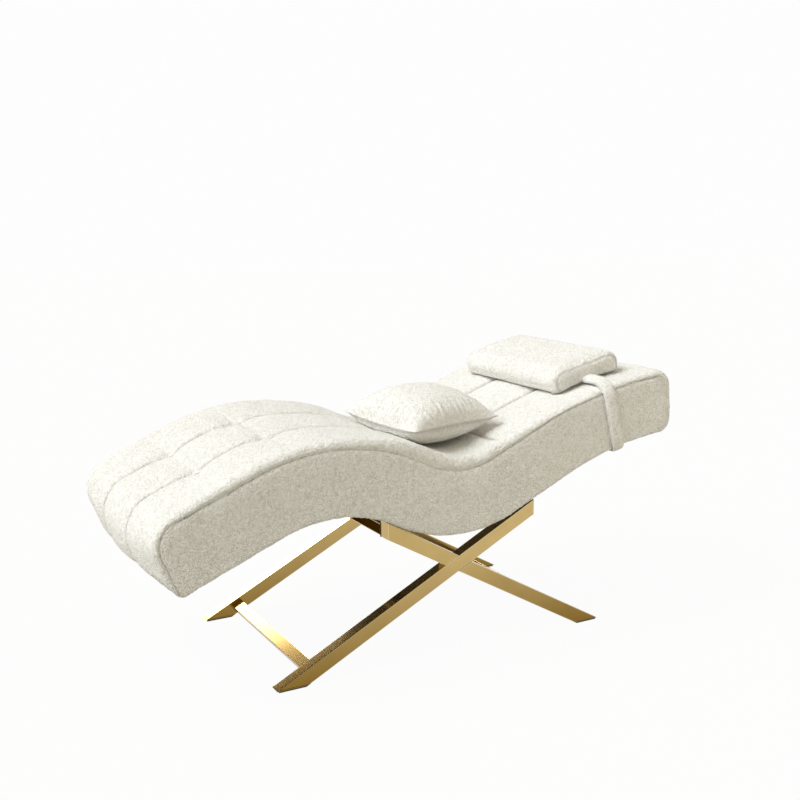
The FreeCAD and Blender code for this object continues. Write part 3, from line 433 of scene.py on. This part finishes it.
def cover_height(runs, across):
    height = strip_height(runs, across)
    wide = np.abs(across)
    inside = 1 - smooth_step(SEWN_IN, SEWN_OUT, wide)
    to_end = np.minimum(runs, SEAM_LENGTH + CORNER_RUN / 2 - runs)
    corner = smooth_step(CORNER_RUN, CORNER_END, to_end) * smooth_step(CORNER_IN, EDGE_START, wide)
    height = height - CORNER_DROP * corner - GROOVE_DEPTH * bell(wide - CHANNEL_Y, GROOVE_WIDTH)
    near_channel = bell(wide - CHANNEL_Y, VALLEY_REACH)
    share = VALLEY_LEAST + (1 - VALLEY_LEAST) * near_channel
    for tuft_run in TUFT_RUNS:
        ahead = runs - tuft_run
        height = height - VALLEY_DEPTH * bell(ahead, VALLEY_WIDTH) * share * inside
        height = height - CREASE_DEPTH * bell(ahead, CREASE_WIDTH) * near_channel * inside
        gap = np.hypot(ahead, wide - CHANNEL_Y)
        height = height - TUFT_DEPTH * bell(gap, TUFT_WIDTH)
    height = height - DIP_SEAM_DEPTH * bell(runs - DIP_SEAM_RUN, DIP_SEAM_WIDTH) * inside
    return np.maximum(height, LEAST_HEIGHT)


# Painted shade in the stitched grooves and seams, as shares of the seam shade colour along the channels, at
# the tuft pits, in the dip and round the edge
GROOVE_SHADE_WIDTH, CHANNEL_SHADE = 0.0054, 0.95
TUFT_PIT_SHADE, TUFT_PIT_SHADE_WIDTH, TUFT_STRETCH = 0.85, 0.005, 2
DIP_SEAM_SHADE, DIP_SHADE_IN, DIP_SHADE_OUT = 0.55, 0.30, 0.36
SEAM_SHADE = 0.14


def cover_seam_shade(runs, across):
    wide = np.abs(across)
    line = CHANNEL_SHADE * bell(wide - CHANNEL_Y, GROOVE_SHADE_WIDTH)
    for tuft_run in TUFT_RUNS:
        gap = np.hypot((runs - tuft_run) / TUFT_STRETCH, wide - CHANNEL_Y)
        line = np.maximum(line, TUFT_PIT_SHADE * bell(gap, TUFT_PIT_SHADE_WIDTH))
    inside = 1 - smooth_step(DIP_SHADE_IN, DIP_SHADE_OUT, wide)
    return np.maximum(line, DIP_SEAM_SHADE * bell(runs - DIP_SEAM_RUN, GROOVE_SHADE_WIDTH) * inside)


# Rounded edge of the cover, from its top down to just past the seam, by degrees
EDGE_PROUD, EDGE_TUCK = 0.003, 0.005
EDGE_REACH = HALF_WIDTH + EDGE_PROUD - EDGE_START
EDGE_BOW, EDGE_FALL = 0.62, 0.85
EDGE_TURN, EDGE_STEPS = 94, 18
TUCK_FROM, RIM_FROM, RIM_TO = 70, 82, 92


# Height as a share of the top's, reach beyond the top, and painted seam shade, down the edge
def cover_edge():
    angles = np.linspace(0, radians(EDGE_TURN), EDGE_STEPS + 1)[1:]
    level = signed_power(np.cos(angles), EDGE_FALL)
    tuck = EDGE_TUCK * smooth_step(radians(TUCK_FROM), radians(RIM_TO), angles)
    reach = EDGE_REACH * np.sin(angles) ** EDGE_BOW - tuck
    rim = SEAM_SHADE * smooth_step(radians(RIM_FROM), radians(RIM_TO), angles)
    return level, reach, rim


def seam_sag(runs):
    return SEAM_SAG * smooth_step(SAG_FROM, SAG_TO, runs)


# Towards its tucked ends the cover thins out
THIN_LEAST = 0.12
FOOT_THIN_FROM, FOOT_THIN_TO = 0.3 * TUCK, TUCK + 0.085
HEAD_THIN_FROM, HEAD_THIN_TO = 0.5 * TUCK, TUCK + 2.4 * HEAD_LOW


def cover_thinness(runs):
    foot = smooth_step(FOOT_THIN_FROM, FOOT_THIN_TO, runs)
    head = smooth_step(HEAD_THIN_FROM, HEAD_THIN_TO, COVER_LENGTH - runs)
    return THIN_LEAST + (1 - THIN_LEAST) * np.minimum(foot, head)


# Back of the cover, set in from the sides and just over the boards
BACK_POINTS, BACK_IN, BACK_LIFT = 9, 0.01483, 0.0008
BACK_HALF = HALF_WIDTH - BACK_IN


def make_cover():
    runs = np.linspace(0, COVER_LENGTH, ceil(COVER_LENGTH / GRID_STEP))
    x, z, heading = along(cover_route, runs)
    thin = cover_thinness(runs)
    top = np.linspace(-EDGE_START, EDGE_START, ceil(2 * EDGE_START / GRID_STEP))
    level, reach, rim = cover_edge()
    side = EDGE_START + reach
    across = np.concatenate([top, side, np.linspace(BACK_HALF, -BACK_HALF, BACK_POINTS), -side[::-1]])
    rows, marks = [], []
    for index, wave_run in enumerate(runs - COVER_LEAD):
        height = cover_height(wave_run, top)
        fall = height[-1] * level - seam_sag(wave_run) * (1 - level)
        lift = np.concatenate([height, fall, np.full(BACK_POINTS, BACK_LIFT), fall[::-1]]) * thin[index]
        rows.append(np.column_stack([x[index] - lift * sin(heading[index]), across,
                                     z[index] + lift * cos(heading[index])]))
        # Painted shade in the grooves, tuft pits and dip, and at the edge seam
        marks.append(np.concatenate([cover_seam_shade(wave_run, top), rim, np.zeros(BACK_POINTS), rim[::-1]]))
    faces = tube_faces(len(runs), len(across))
    return add_mesh("quilted_cover", np.concatenate(rows), faces, boucle, np.concatenate(marks))


cover = make_cover()
add_nap(cover)
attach(cover, "bed")
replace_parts(cover, "quilted_top_cover")

# Side covers: the wave-shaped panel between seam and underside, drawn in along its seams
PANEL_BULGE, PANEL_BULGE_RUN = 0.0025, 0.02
PANEL_TUCK, PANEL_TUCK_RUN = 0.0035, 0.004
PANEL_SEAM_SHADE_WIDTH, PANEL_THICKNESS = 0.0034, 0.003
HEM_ROUND, HEM_RUN, HEM_STEPS = 0.008, 0.022, 4


# Where a panel row at a depth below the seam begins and ends, with all four corners rounded
def corner_inset(depth, radius, low_radius):
    high = np.clip(radius - depth, 0, radius)
    low = np.clip(depth - SEAM_DEPTH + low_radius, 0, low_radius)
    return radius - np.sqrt(radius ** 2 - high ** 2) + low_radius - np.sqrt(low_radius ** 2 - low ** 2)


def panel_ends(depth):
    low = corner_inset(depth, FOOT_CORNER, FOOT_LOW)
    return low, SEAM_LENGTH - HEAD_IN - corner_inset(depth, HEAD_CORNER, HEAD_LOW)


# Rows of a panel down the side, round the hem and under the bed: depth below the seam, and way inward
def panel_rows():
    flat = np.linspace(0, SEAM_DEPTH - HEM_ROUND, ceil((SEAM_DEPTH - HEM_ROUND) / GRID_STEP))
    hem = np.linspace(0, pi / 2, HEM_STEPS + 1)[1:]
    under = np.linspace(0, HEM_RUN, HEM_STEPS + 1)[1:]
    depth = np.concatenate([flat, SEAM_DEPTH - HEM_ROUND * (1 - np.sin(hem)), np.full(HEM_STEPS, SEAM_DEPTH)])
    inward = np.concatenate([np.zeros(len(flat)), HEM_ROUND * (1 - np.cos(hem)), HEM_ROUND + under])
    return depth, inward


def make_panel(name, side):
    depth, inward = panel_rows()
    share = np.linspace(0, 1, ceil(SEAM_LENGTH / GRID_STEP))
    low, high = panel_ends(depth)
    runs = low[:, None] + (high - low)[:, None] * share[None, :]
    x, z, heading = along(seam_route, runs)
    deep = depth[:, None] + seam_sag(runs) * (1 - depth / SEAM_DEPTH)[:, None]
    end_gap = np.minimum(runs - low[:, None], high[:, None] - runs)
    rim = np.minimum(np.broadcast_to(depth[:, None], runs.shape), end_gap)
    out = PANEL_BULGE * (1 - np.exp(-rim / PANEL_BULGE_RUN)) - PANEL_TUCK * np.exp(-rim / PANEL_TUCK_RUN)
    y = side * (HALF_WIDTH + out - inward[:, None])
    points = np.stack([x + deep * np.sin(heading), y, z - deep * np.cos(heading)], axis=-1)
    faces = grid_faces(len(depth), len(share))
    if side > 0:
        faces = flipped(faces)
    # Painted shade along the panel's seams and ends
    seam = SEAM_SHADE * bell(rim, PANEL_SEAM_SHADE_WIDTH)
    panel = add_mesh(name, points.reshape(-1, 3), faces, boucle, seam.reshape(-1))
    add_nap(panel)
    shell = panel.modifiers.new("cloth", "SOLIDIFY")
    shell.thickness = PANEL_THICKNESS
    shell.offset = -1
    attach(panel, "bed")
    return panel


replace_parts(make_panel("near_side_panel", -1), "near_side_cover")
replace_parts(make_panel("far_side_panel", 1), "far_side_cover")

# Underside: a woven cover stretched below the boards, a little slack between them
UNDER_HALF, UNDER_STEP, UNDER_GAP = 0.345, 0.012, 0.0006
UNDER_SLACK, RIPPLE_SHARE, RIPPLE_RATE = 0.0015, 0.4, 37


def make_underside():
    ahead = np.linspace(FOOT_LOW, SEAM_LENGTH - HEAD_IN - HEAD_LOW, ceil(SEAM_LENGTH / UNDER_STEP))
    across = np.linspace(-UNDER_HALF, UNDER_HALF, ceil(2 * UNDER_HALF / UNDER_STEP))
    x, z, heading = along(seam_route, ahead)
    slack = UNDER_SLACK * (1 - (across / UNDER_HALF) ** 2)
    ripple = 1 - RIPPLE_SHARE + RIPPLE_SHARE * np.sin(ahead * RIPPLE_RATE)
    depth = SEAM_DEPTH + UNDER_GAP + slack[None, :] * ripple[:, None]
    points = np.stack([x[:, None] + depth * np.sin(heading)[:, None], np.broadcast_to(across, depth.shape),
                       z[:, None] - depth * np.cos(heading)[:, None]], axis=-1)
    faces = flipped(grid_faces(len(ahead), len(across)))
    piece = add_mesh("dust_cover", points.reshape(-1, 3), faces, cloth)
    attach(piece, "bed")
    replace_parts(piece, "underside_cover")


make_underside()

# Stuffed pieces: a cloth shell blown up by its filling
CLOTH_QUALITY, CLOTH_MASS, CLOTH_STIFFNESS, CLOTH_BENDING = 6, 0.2, 20, 0.05
CLOTH_SHEAR = CLOTH_STIFFNESS / 3


def blow_up(obj, pressure, frames):
    shell = obj.modifiers.new("shell", "CLOTH")
    settings = shell.settings
    settings.quality = CLOTH_QUALITY
    settings.mass = CLOTH_MASS
    settings.tension_stiffness = CLOTH_STIFFNESS
    settings.compression_stiffness = CLOTH_STIFFNESS
    settings.shear_stiffness = CLOTH_SHEAR
    settings.bending_stiffness = CLOTH_BENDING
    settings.use_pressure = True
    settings.uniform_pressure_force = pressure
    settings.effector_weights.gravity = 0
    shell.point_cache.frame_end = frames
    for frame_number in range(1, frames + 1):
        scene.frame_set(frame_number)
    points = mesh_points(obj.evaluated_get(bpy.context.evaluated_depsgraph_get()))
    obj.modifiers.remove(shell)
    scene.frame_set(1)
    return points


# Points of the blown-up piece, each moved by a share along the axes and no further than the swell
def puff(obj, pressure, frames, swell, give=(1, 1, 1)):
    start = mesh_points(obj)
    moved = (blow_up(obj, pressure, frames) - start) * np.array(give)
    far = np.linalg.norm(moved, axis=1, keepdims=True)
    return start + moved * np.minimum(1, swell / np.maximum(far, TINY))


def add_fineness(obj):
    finer = obj.modifiers.new("finer", "SUBSURF")
    finer.levels = finer.render_levels = 1


# Height of the bed's top at places seen from above
TOP_PAST, TOP_SAMPLES, TOP_TRIES = 0.05, 800, 4


def top_of_bed(x, y):
    runs = np.linspace(-TOP_PAST, SEAM_LENGTH + TOP_PAST, TOP_SAMPLES)
    route_x, route_z, heading = along(seam_route, runs)
    here = np.interp(x, route_x, runs)
    for _ in range(TOP_TRIES):
        lift = cover_height(here, y)
        here = np.interp(x + lift * np.sin(np.interp(here, runs, heading)), route_x, runs)
    lift = cover_height(here, y)
    return np.interp(here, runs, route_z) + lift * np.cos(np.interp(here, runs, heading))


# Head pillow: a bent slab with a seam round its ends, lying on the head's arc
PILLOW_LOW, PILLOW_HIGH, PILLOW_HALF = 1.467, 1.744, 0.275
PILLOW_DEPTH, PILLOW_BASE = 0.086, 0.010
PILLOW_ROUND, PILLOW_LOW_ROUND, PILLOW_END_ROUND, PILLOW_END_RISE = 0.048, 0.011, 0.034, 0.25
PILLOW_START, PILLOW_COLUMNS, PILLOW_RINGS, PILLOW_VOXEL = 0.003, 8, 7, 0.005
PILLOW_SEAM, PILLOW_PINCH, PILLOW_PINCH_WIDTH = 0.008, 0.02, 0.004
# Painted shade in the seams round the pillow's ends
PILLOW_SEAM_SHADE, PILLOW_SEAM_SHADE_WIDTH = 0.5, 0.0026
# Most that the filling pushes the cover out, and its share along, across and up
PILLOW_SWELL, PILLOW_GIVE = 0.006, (0.5, 0.12, 1.0)
PILLOW_PRESSURE, PILLOW_FRAMES = 4.0, 14


# Outline of a slab, wide at the top corners and tight at the lower ones
def slab_outline(half_x, low, high, top_radius, low_radius, count):
    corners = []
    radii = (top_radius, top_radius, low_radius, low_radius)
    for quarter, (side_x, level) in enumerate(((1, high), (-1, high), (-1, low), (1, low))):
        radius = radii[quarter]
        angles = quarter * pi / 2 + np.linspace(0, pi / 2, count)
        inward = radius if level == low else -radius
        corners.append(np.column_stack([side_x * (half_x - radius) + radius * np.cos(angles),
                                        level + inward + radius * np.sin(angles)]))
    return np.concatenate(corners)


# A slab rounded all over, in even quads
def make_slab(name, half):
    rings = []
    for share in np.linspace(0, 1, PILLOW_RINGS):
        inset = PILLOW_END_ROUND * (1 - sin(share * pi / 2))
        rings.append((inset, half[1] - PILLOW_END_ROUND * (1 - cos(share * pi / 2))))
    rings += [(inset, -y) for inset, y in rings[::-1]]
    points, columns = [], 4 * PILLOW_COLUMNS
    for inset, y in rings:
        outline = slab_outline(half[0] - inset, PILLOW_END_RISE * inset - half[2], half[2] - inset,
                               PILLOW_ROUND - inset, PILLOW_LOW_ROUND, PILLOW_COLUMNS)
        points.append(np.column_stack([outline[:, 0], np.full(columns, y), outline[:, 1]]))
    slab = add_mesh(name, np.concatenate(points), tube_faces(len(rings), columns), boucle)
    even = slab.modifiers.new("even", "REMESH")
    even.mode = "VOXEL"
    even.voxel_size = PILLOW_VOXEL
    mesh = bpy.data.meshes.new_from_object(slab.evaluated_get(bpy.context.evaluated_depsgraph_get()))
    slab.modifiers.clear()
    slab.data = mesh
    shade_smooth(mesh)
    return slab


def make_pillow():
    half = np.array(((PILLOW_HIGH - PILLOW_LOW) / 2, PILLOW_HALF, PILLOW_DEPTH / 2))
    pillow = make_slab("head_pillow", half - PILLOW_START)
    points = puff(pillow, PILLOW_PRESSURE, PILLOW_FRAMES, PILLOW_SWELL, PILLOW_GIVE)
    points *= half / np.abs(points).max(axis=0)
    rim = np.abs(points[:, 1]) - half[1] + PILLOW_SEAM
    points[:, [0, 2]] *= (1 - PILLOW_PINCH * bell(rim, PILLOW_PINCH_WIDTH))[:, None]
    x, z, heading = along(seam_route, (PILLOW_LOW + PILLOW_HIGH) / 2 + points[:, 0])
    lift = PILLOW_BASE + PILLOW_DEPTH / 2 + points[:, 2]
    bent = np.column_stack([x - lift * np.sin(heading), points[:, 1], z + lift * np.cos(heading)])
    set_points(pillow, bent)
    # Painted shade in the pinched seam round the pillow's ends
    mark_seam(pillow.data, PILLOW_SEAM_SHADE * bell(rim, PILLOW_SEAM_SHADE_WIDTH))
    add_fineness(pillow)
    add_nap(pillow)
    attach(pillow, "pillow")
    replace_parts(pillow, "pillow_core", "pillow_top_cover", "pillow_base_cover")


make_pillow()

# Strap of the pillow: a padded band over the edges and under the bed, thinner below
STRAP_RUN, STRAP_HALF_WIDTH, STRAP_HALF_DEPTH, STRAP_SIDES = 1.598, 0.0220, 0.0120, 26
STRAP_START, STRAP_KNEE, STRAP_LOW_KNEE, STRAP_TOP = 0.245, 0.050, 0.012, 0.030
STRAP_OUT, STRAP_UNDER, STRAP_THIN, STRAP_THINNING = 0.3775, 0.2030, 0.45, 0.045
STRAP_SQUARE_WIDTH, STRAP_SQUARE_DEPTH = 0.7, 0.8


# Route of the band round the bed, as (across, up)
def strap_route():
    level = run(STRAP_OUT - STRAP_KNEE - STRAP_START)
    fall = run(STRAP_TOP + STRAP_UNDER - STRAP_KNEE - STRAP_LOW_KNEE)
    upper, lower = turn(STRAP_KNEE, 90), turn(STRAP_LOW_KNEE, 90)
    bottom = run(2 * (STRAP_OUT - STRAP_LOW_KNEE))
    steps = [level, upper, fall, lower, bottom, lower, fall, upper, level]
    return lay_route(-STRAP_START, STRAP_TOP, pi, steps)


def make_strap():
    path = strap_route()
    runs = np.linspace(0, route_length(path), ceil(route_length(path) / GRID_STEP))
    across, lift, heading = along(path, runs)
    base_x, base_z, slope = (float(part) for part in along(seam_route, STRAP_RUN))
    angles = np.linspace(0, 2 * pi, STRAP_SIDES, endpoint=False)
    side = STRAP_HALF_WIDTH * signed_power(np.cos(angles), STRAP_SQUARE_WIDTH)
    deep = STRAP_HALF_DEPTH * signed_power(np.sin(angles), STRAP_SQUARE_DEPTH)
    full = STRAP_THIN + (1 - STRAP_THIN) * smooth_step(0, STRAP_THINNING, lift + STRAP_UNDER)
    deep = full[:, None] * deep
    rise = lift[:, None] + deep * np.cos(heading)[:, None]
    points = np.stack([base_x + side * cos(slope) - rise * sin(slope),
                       across[:, None] - deep * np.sin(heading)[:, None],
                       base_z + side * sin(slope) + rise * cos(slope)], axis=-1)
    faces = flipped(tube_faces(len(runs), STRAP_SIDES))
    strap = add_mesh("pillow_band", points.reshape(-1, 3), faces, boucle)
    add_nap(strap, STRAP_NAP)
    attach(strap, "pillow")
    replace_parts(strap, "pillow_strap")


make_strap()

# Scatter cushion: two square panels sewn round their rim and filled, its corners placed from the photograph
CUSHION_FRONT = np.array((-0.084, -0.332, 0.7235))
CUSHION_RIGHT = np.array((0.2702, -0.257, 0.726))
CUSHION_LEFT = np.array((-0.167, -0.008, 0.743))
CUSHION_HALF, CUSHION_CELLS, CUSHION_DRAW = 0.175, 84, 0.075
CUSHION_CROWN, CUSHION_BELLY, CUSHION_FLANGE, CUSHION_LIP = 0.088, 0.080, 0.955, 0.0015
CUSHION_POWER, CUSHION_ROOT = 2.3, 0.56
CUSHION_PRESSURE, CUSHION_FRAMES, CUSHION_SWELL = 2.0, 12, 0.005
CUSHION_REST, CUSHION_SAG = 0.002, 0.014
# Painted shade on the lower panel just under the rim
CUSHION_RIM_SHADE, CUSHION_RIM_SHADE_AT, CUSHION_RIM_SHADE_WIDTH = 0.45, 0.045, 0.024
# Gathers along the rim: two waves, each as (size, rate along the rim, lean, start)
PLEATS = ((1.0, 55, 5, 0.0), (0.7, 38, -3, 1.3))
PLEAT_DEPTH, PLEAT_AT, PLEAT_FADE = 0.0030, 0.014, 0.036


# Height of the blown-up panel over its seam, 1 in the middle
def panel_rise(u, v):
    full_u = np.clip(np.abs(u) / CUSHION_FLANGE, 0, 1)
    full_v = np.clip(np.abs(v) / CUSHION_FLANGE, 0, 1)
    return ((1 - full_u ** CUSHION_POWER) * (1 - full_v ** CUSHION_POWER)) ** CUSHION_ROOT


def gathers(u, v):
    total = np.zeros_like(u)
    for rim, line in ((u, v), (v, u)):
        gap = CUSHION_HALF * (CUSHION_FLANGE - np.abs(rim))
        wave = sum(size * np.sin(rate * line + lean * rim + start) for size, rate, lean, start in PLEATS)
        total += wave * bell(gap - PLEAT_AT, PLEAT_FADE) * (1 - line ** 4) * (gap > 0)
    return PLEAT_DEPTH * total


# The two panels share the points of the rim; u and v run from -1 to 1 over the square
def cushion_shell(u, v, rim):
    count = len(u)
    x = CUSHION_HALF * u * (1 - CUSHION_DRAW * np.abs(u) ** 3 * (1 - v ** 2))
    y = CUSHION_HALF * v * (1 - CUSHION_DRAW * np.abs(v) ** 3 * (1 - u ** 2))
    rise = panel_rise(u, v)
    fold = gathers(u, v) * rise ** 0.5
    high = np.stack([x, y, CUSHION_LIP + CUSHION_CROWN * rise + fold], -1)
    deep = np.stack([x, y, -CUSHION_LIP - CUSHION_BELLY * rise - fold], -1)
    high[rim, 2] = 0
    lower = np.arange(u.size)
    lower[~rim.ravel()] = u.size + np.arange((~rim).sum())
    upper_faces = flipped(grid_faces(count, count))
    lower_faces = [tuple(int(lower[corner]) for corner in face) for face in flipped(upper_faces)]
    # Painted shade on the lower panel just under the rim
    gap = 1 - np.maximum(np.abs(u), np.abs(v))
    mark = CUSHION_RIM_SHADE * bell(gap - CUSHION_RIM_SHADE_AT, CUSHION_RIM_SHADE_WIDTH)
    seam = np.concatenate([np.zeros(u.size), mark[~rim]])
    points = np.concatenate([high.reshape(-1, 3), deep[~rim]])
    return add_mesh("scatter_cushion", points, upper_faces + lower_faces, boucle, seam)


# Lay the cushion on its three corners, with its rim sagging and its lower panel resting on the bed
def lay_cushion(points, u, v, rim):
    ahead, aside = CUSHION_RIGHT - CUSHION_FRONT, CUSHION_LEFT - CUSHION_FRONT
    normal = np.cross(ahead, aside)
    axes = [ahead / (2 * CUSHION_HALF), aside / (2 * CUSHION_HALF), normal / np.linalg.norm(normal)]
    placed = (CUSHION_RIGHT + CUSHION_LEFT) / 2 + points @ np.array(axes)
    sag = CUSHION_SAG * (1 - v ** 2) * np.clip(-u, 0, 1) ** 2
    placed[:, 2] -= np.concatenate([sag.ravel(), sag[~rim]])
    rest = top_of_bed(placed[:, 0], placed[:, 1]) + CUSHION_REST
    placed[:, 2] = np.maximum(placed[:, 2], rest)
    return placed


def make_cushion():
    line = np.linspace(-1, 1, CUSHION_CELLS + 1)
    u, v = np.meshgrid(line, line, indexing="ij")
    rim = np.maximum(np.abs(u), np.abs(v)) > 1 - TINY
    cushion = cushion_shell(u, v, rim)
    blown = puff(cushion, CUSHION_PRESSURE, CUSHION_FRAMES, CUSHION_SWELL)
    set_points(cushion, lay_cushion(blown, u, v, rim))
    add_fineness(cushion)
    add_nap(cushion, CUSHION_NAP)
    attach(cushion, "cushion")
    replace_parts(cushion, "cushion_filling", "cushion_top_panel", "cushion_bottom_panel")


make_cushion()

# Camera, worked out from the photograph's base and its edges
LENS, SENSOR = 48.49, 36
CAMERA_PLACE, CAMERA_DOWN, CAMERA_TURN = (-1.6506, -3.0382, 1.3947), 10.3946, -29.2185
camera_data = bpy.data.cameras.new("camera")
camera_data.lens = LENS
camera_data.sensor_width = SENSOR
camera = bpy.data.objects.new("camera", camera_data)
camera.location = CAMERA_PLACE
camera.rotation_euler = (radians(90 - CAMERA_DOWN), 0, radians(CAMERA_TURN))
scene.collection.objects.link(camera)
scene.camera = camera

# Metal finishes, with eased edges on the tubes that carry a painted highlight
LONG_SLOPE, CROSS_SLOPE = 26.8, -29.2
TUBE_EDGE, BAR_EDGE, EDGE_SEGMENTS, WELD_GAP = 0.002, 0.004, 3, 0.00002
long_gold = gold_material("gold_long_legs", LONG_SLOPE)
cross_gold = gold_material("gold_cross_legs", CROSS_SLOPE, tone=CROSS_TONE)
bar_gold = gold_material("gold_bars", 0, across=True)
# Crossbars: the gold darkened with painted shade and dark painted reflections
shaded_gold = gold_material("gold_crossbars", 0, across=True, tone=CROSSBAR_SHADE, rim=CROSSBAR_SHADE_RIM)
# Eased edges: the gold brightened as a painted highlight
highlight_gold = gold_material("gold_edge_highlights", 0, tone=EDGE_HIGHLIGHT)
cap_gold = gold_material("gold_caps", CROSS_SLOPE, tone=CROSS_TONE)
FINISHES = {
    long_gold: ["near_long_leg", "far_long_leg"],
    cross_gold: ["near_upper_cross_leg", "far_upper_cross_leg",
                 "near_lower_cross_leg", "far_lower_cross_leg"],
    cap_gold: ["leg_end_caps", "foot_plates"],
    bar_gold: ["foot_stretcher", "head_stretcher"],
    shaded_gold: ["foot_crossbar", "head_crossbar", "foot_brackets", "head_brackets"],
    zinc: ["mount_bolts", "mount_washers", "insert_nuts"],
    glide: ["floor_glides"],
    plywood: ["near_side_board", "far_side_board", "bent_deck", "foot_end_rail", "foot_rib", "crest_rib",
              "dip_rib", "head_rib", "head_end_rail", "foot_mount_rail", "head_mount_rail"],
    foam: ["foam_pad"],
}
EDGE_WIDTHS = {long_gold: TUBE_EDGE, cross_gold: TUBE_EDGE, bar_gold: TUBE_EDGE, shaded_gold: BAR_EDGE}


# Eases the edges and gives them the painted highlight gold
def ease_edges(node, width):
    node.modifiers.new("weld", "WELD").merge_threshold = WELD_GAP
    node.data.materials.append(highlight_gold)
    bevel = node.modifiers.new("edge", "BEVEL")
    bevel.width = width
    bevel.use_clamp_overlap = False
    bevel.segments = EDGE_SEGMENTS
    bevel.material = 1
    bevel.harden_normals = True


for material, names in FINISHES.items():
    for name in names:
        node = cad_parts[name]
        node.data.materials.clear()
        node.data.materials.append(material)
        if material in EDGE_WIDTHS:
            ease_edges(node, EDGE_WIDTHS[material])

# Floor: white to the eye and in reflections, dimmer for the light it throws back, with a faint shadow
GROUND_SIZE, GROUND_KEEP, GROUND_COLOUR = 40, 0.04, (0.52, 0.50, 0.44)


# 1 on rays from the camera, in reflections and through clear things, and 0 on the rest
def seen_rays(nodes, links):
    rays = nodes.new("ShaderNodeLightPath")
    total = rays.outputs["Is Camera Ray"]
    for name in ("Is Glossy Ray", "Is Transmission Ray"):
        add = nodes.new("ShaderNodeMath")
        add.use_clamp = True
        links.new(total, add.inputs[0])
        links.new(rays.outputs[name], add.inputs[1])
        total = add.outputs["Value"]
    return total


def make_floor():
    half = GROUND_SIZE / 2
    corners = [(-half, -half, 0), (half, -half, 0), (half, half, 0), (-half, half, 0)]
    material, nodes, links, shader = new_material("floor_white")
    shader.inputs["Base Color"].default_value = (*GROUND_COLOUR, 1)
    shader.inputs["Roughness"].default_value = 1.0
    shader.inputs["Specular IOR Level"].default_value = 0.0
    white = nodes.new("ShaderNodeEmission")
    factor = nodes.new("ShaderNodeMath")
    factor.operation = "MULTIPLY"
    factor.inputs[1].default_value = 1 - GROUND_KEEP
    links.new(seen_rays(nodes, links), factor.inputs[0])
    mixer = nodes.new("ShaderNodeMixShader")
    links.new(factor.outputs["Value"], mixer.inputs["Fac"])
    links.new(shader.outputs["BSDF"], mixer.inputs[1])
    links.new(white.outputs["Emission"], mixer.inputs[2])
    links.new(mixer.outputs["Shader"], nodes["Material Output"].inputs["Surface"])
    return add_mesh("floor", corners, [(0, 1, 2, 3)], material)


make_floor()

# White backdrop under a dim ceiling that only reflections reach; top and low are sines of elevation
BACKDROP_TOP, CEILING_LOW, CEILING = 0.47, 0.60, (0.32, 0.30, 0.27)
BACKDROP_LEVEL = 0.984
SKY_COLOUR, SKY_LEVEL = (1.0, 0.94, 0.80), 0.58


def make_world():
    world = bpy.data.worlds.new("studio")
    world.use_nodes = True
    nodes, links = world.node_tree.nodes, world.node_tree.links
    sky = nodes["Background"]
    sky.inputs["Color"].default_value = (*SKY_COLOUR, 1)
    sky.inputs["Strength"].default_value = SKY_LEVEL
    backdrop = nodes.new("ShaderNodeBackground")
    backdrop.inputs["Strength"].default_value = BACKDROP_LEVEL
    direction = nodes.new("ShaderNodeSeparateXYZ")
    links.new(nodes.new("ShaderNodeTexCoord").outputs["Generated"], direction.inputs["Vector"])
    ceiling = ramp(nodes, links, direction.outputs["Z"], [(BACKDROP_TOP, WHITE), (CEILING_LOW, CEILING)])
    links.new(ceiling, backdrop.inputs["Color"])
    mixer = nodes.new("ShaderNodeMixShader")
    links.new(seen_rays(nodes, links), mixer.inputs["Fac"])
    links.new(sky.outputs["Background"], mixer.inputs[1])
    links.new(backdrop.outputs["Background"], mixer.inputs[2])
    links.new(mixer.outputs["Shader"], nodes["World Output"].inputs["Surface"])
    return world


scene.world = make_world()


# Lamps, and the turn that aims one in a direction
def add_lamp(name, kind, energy, colour=WHITE):
    light = bpy.data.lights.new(name, kind)
    light.energy = energy
    light.color = colour
    lamp = bpy.data.objects.new(name, light)
    scene.collection.objects.link(lamp)
    return light, lamp


def facing(direction):
    return direction.to_track_quat("-Z", "Y")


# Key light from the upper left
KEY_ENERGY, KEY_COLOUR = 2.95, (0.94, 0.99, 1.05)
KEY_ANGLE, KEY_DIRECTION = 36, Vector((0.69, -0.05, -0.72))
key, key_lamp = add_lamp("key", "SUN", KEY_ENERGY, KEY_COLOUR)
key.angle = radians(KEY_ANGLE)
key_lamp.rotation_euler = facing(KEY_DIRECTION).to_euler()

# Weak lamp at the head end, which lightens the near side towards the head
FILL_ENERGY, FILL_COLOUR, FILL_SIZE = 9, (1.0, 0.95, 0.84), 1.2
FILL_PLACE, FILL_TARGET = Vector((2.3, -2.3, 0.8)), Vector((0.4, -0.3, 0.6))
fill, fill_lamp = add_lamp("head_fill", "AREA", FILL_ENERGY, FILL_COLOUR)
fill.size = FILL_SIZE
fill_lamp.location = FILL_PLACE
fill_lamp.rotation_euler = facing(FILL_TARGET - FILL_PLACE).to_euler()
fill_lamp.visible_camera = False
fill_lamp.visible_glossy = False

# Long slanted lamp behind the bed, for the bright reflections on the base
LAMP_ENERGY, LAMP_LENGTH, LAMP_WIDTH, LAMP_TILT = 120, 3.0, 1.0, -28
LAMP_PLACE, LAMP_TARGET = Vector((0.0, 4.6, 2.74)), Vector((0, 0, 0.4))
back, back_lamp = add_lamp("back_lamp", "AREA", LAMP_ENERGY)
back.shape = "RECTANGLE"
back.size, back.size_y = LAMP_LENGTH, LAMP_WIDTH
back_lamp.location = LAMP_PLACE
tilt = Quaternion((0, 0, 1), radians(LAMP_TILT))
back_lamp.rotation_euler = (facing(LAMP_TARGET - LAMP_PLACE) @ tilt).to_euler()
back_lamp.visible_camera = False
back_lamp.visible_diffuse = False

scene.view_settings.view_transform = "Standard"
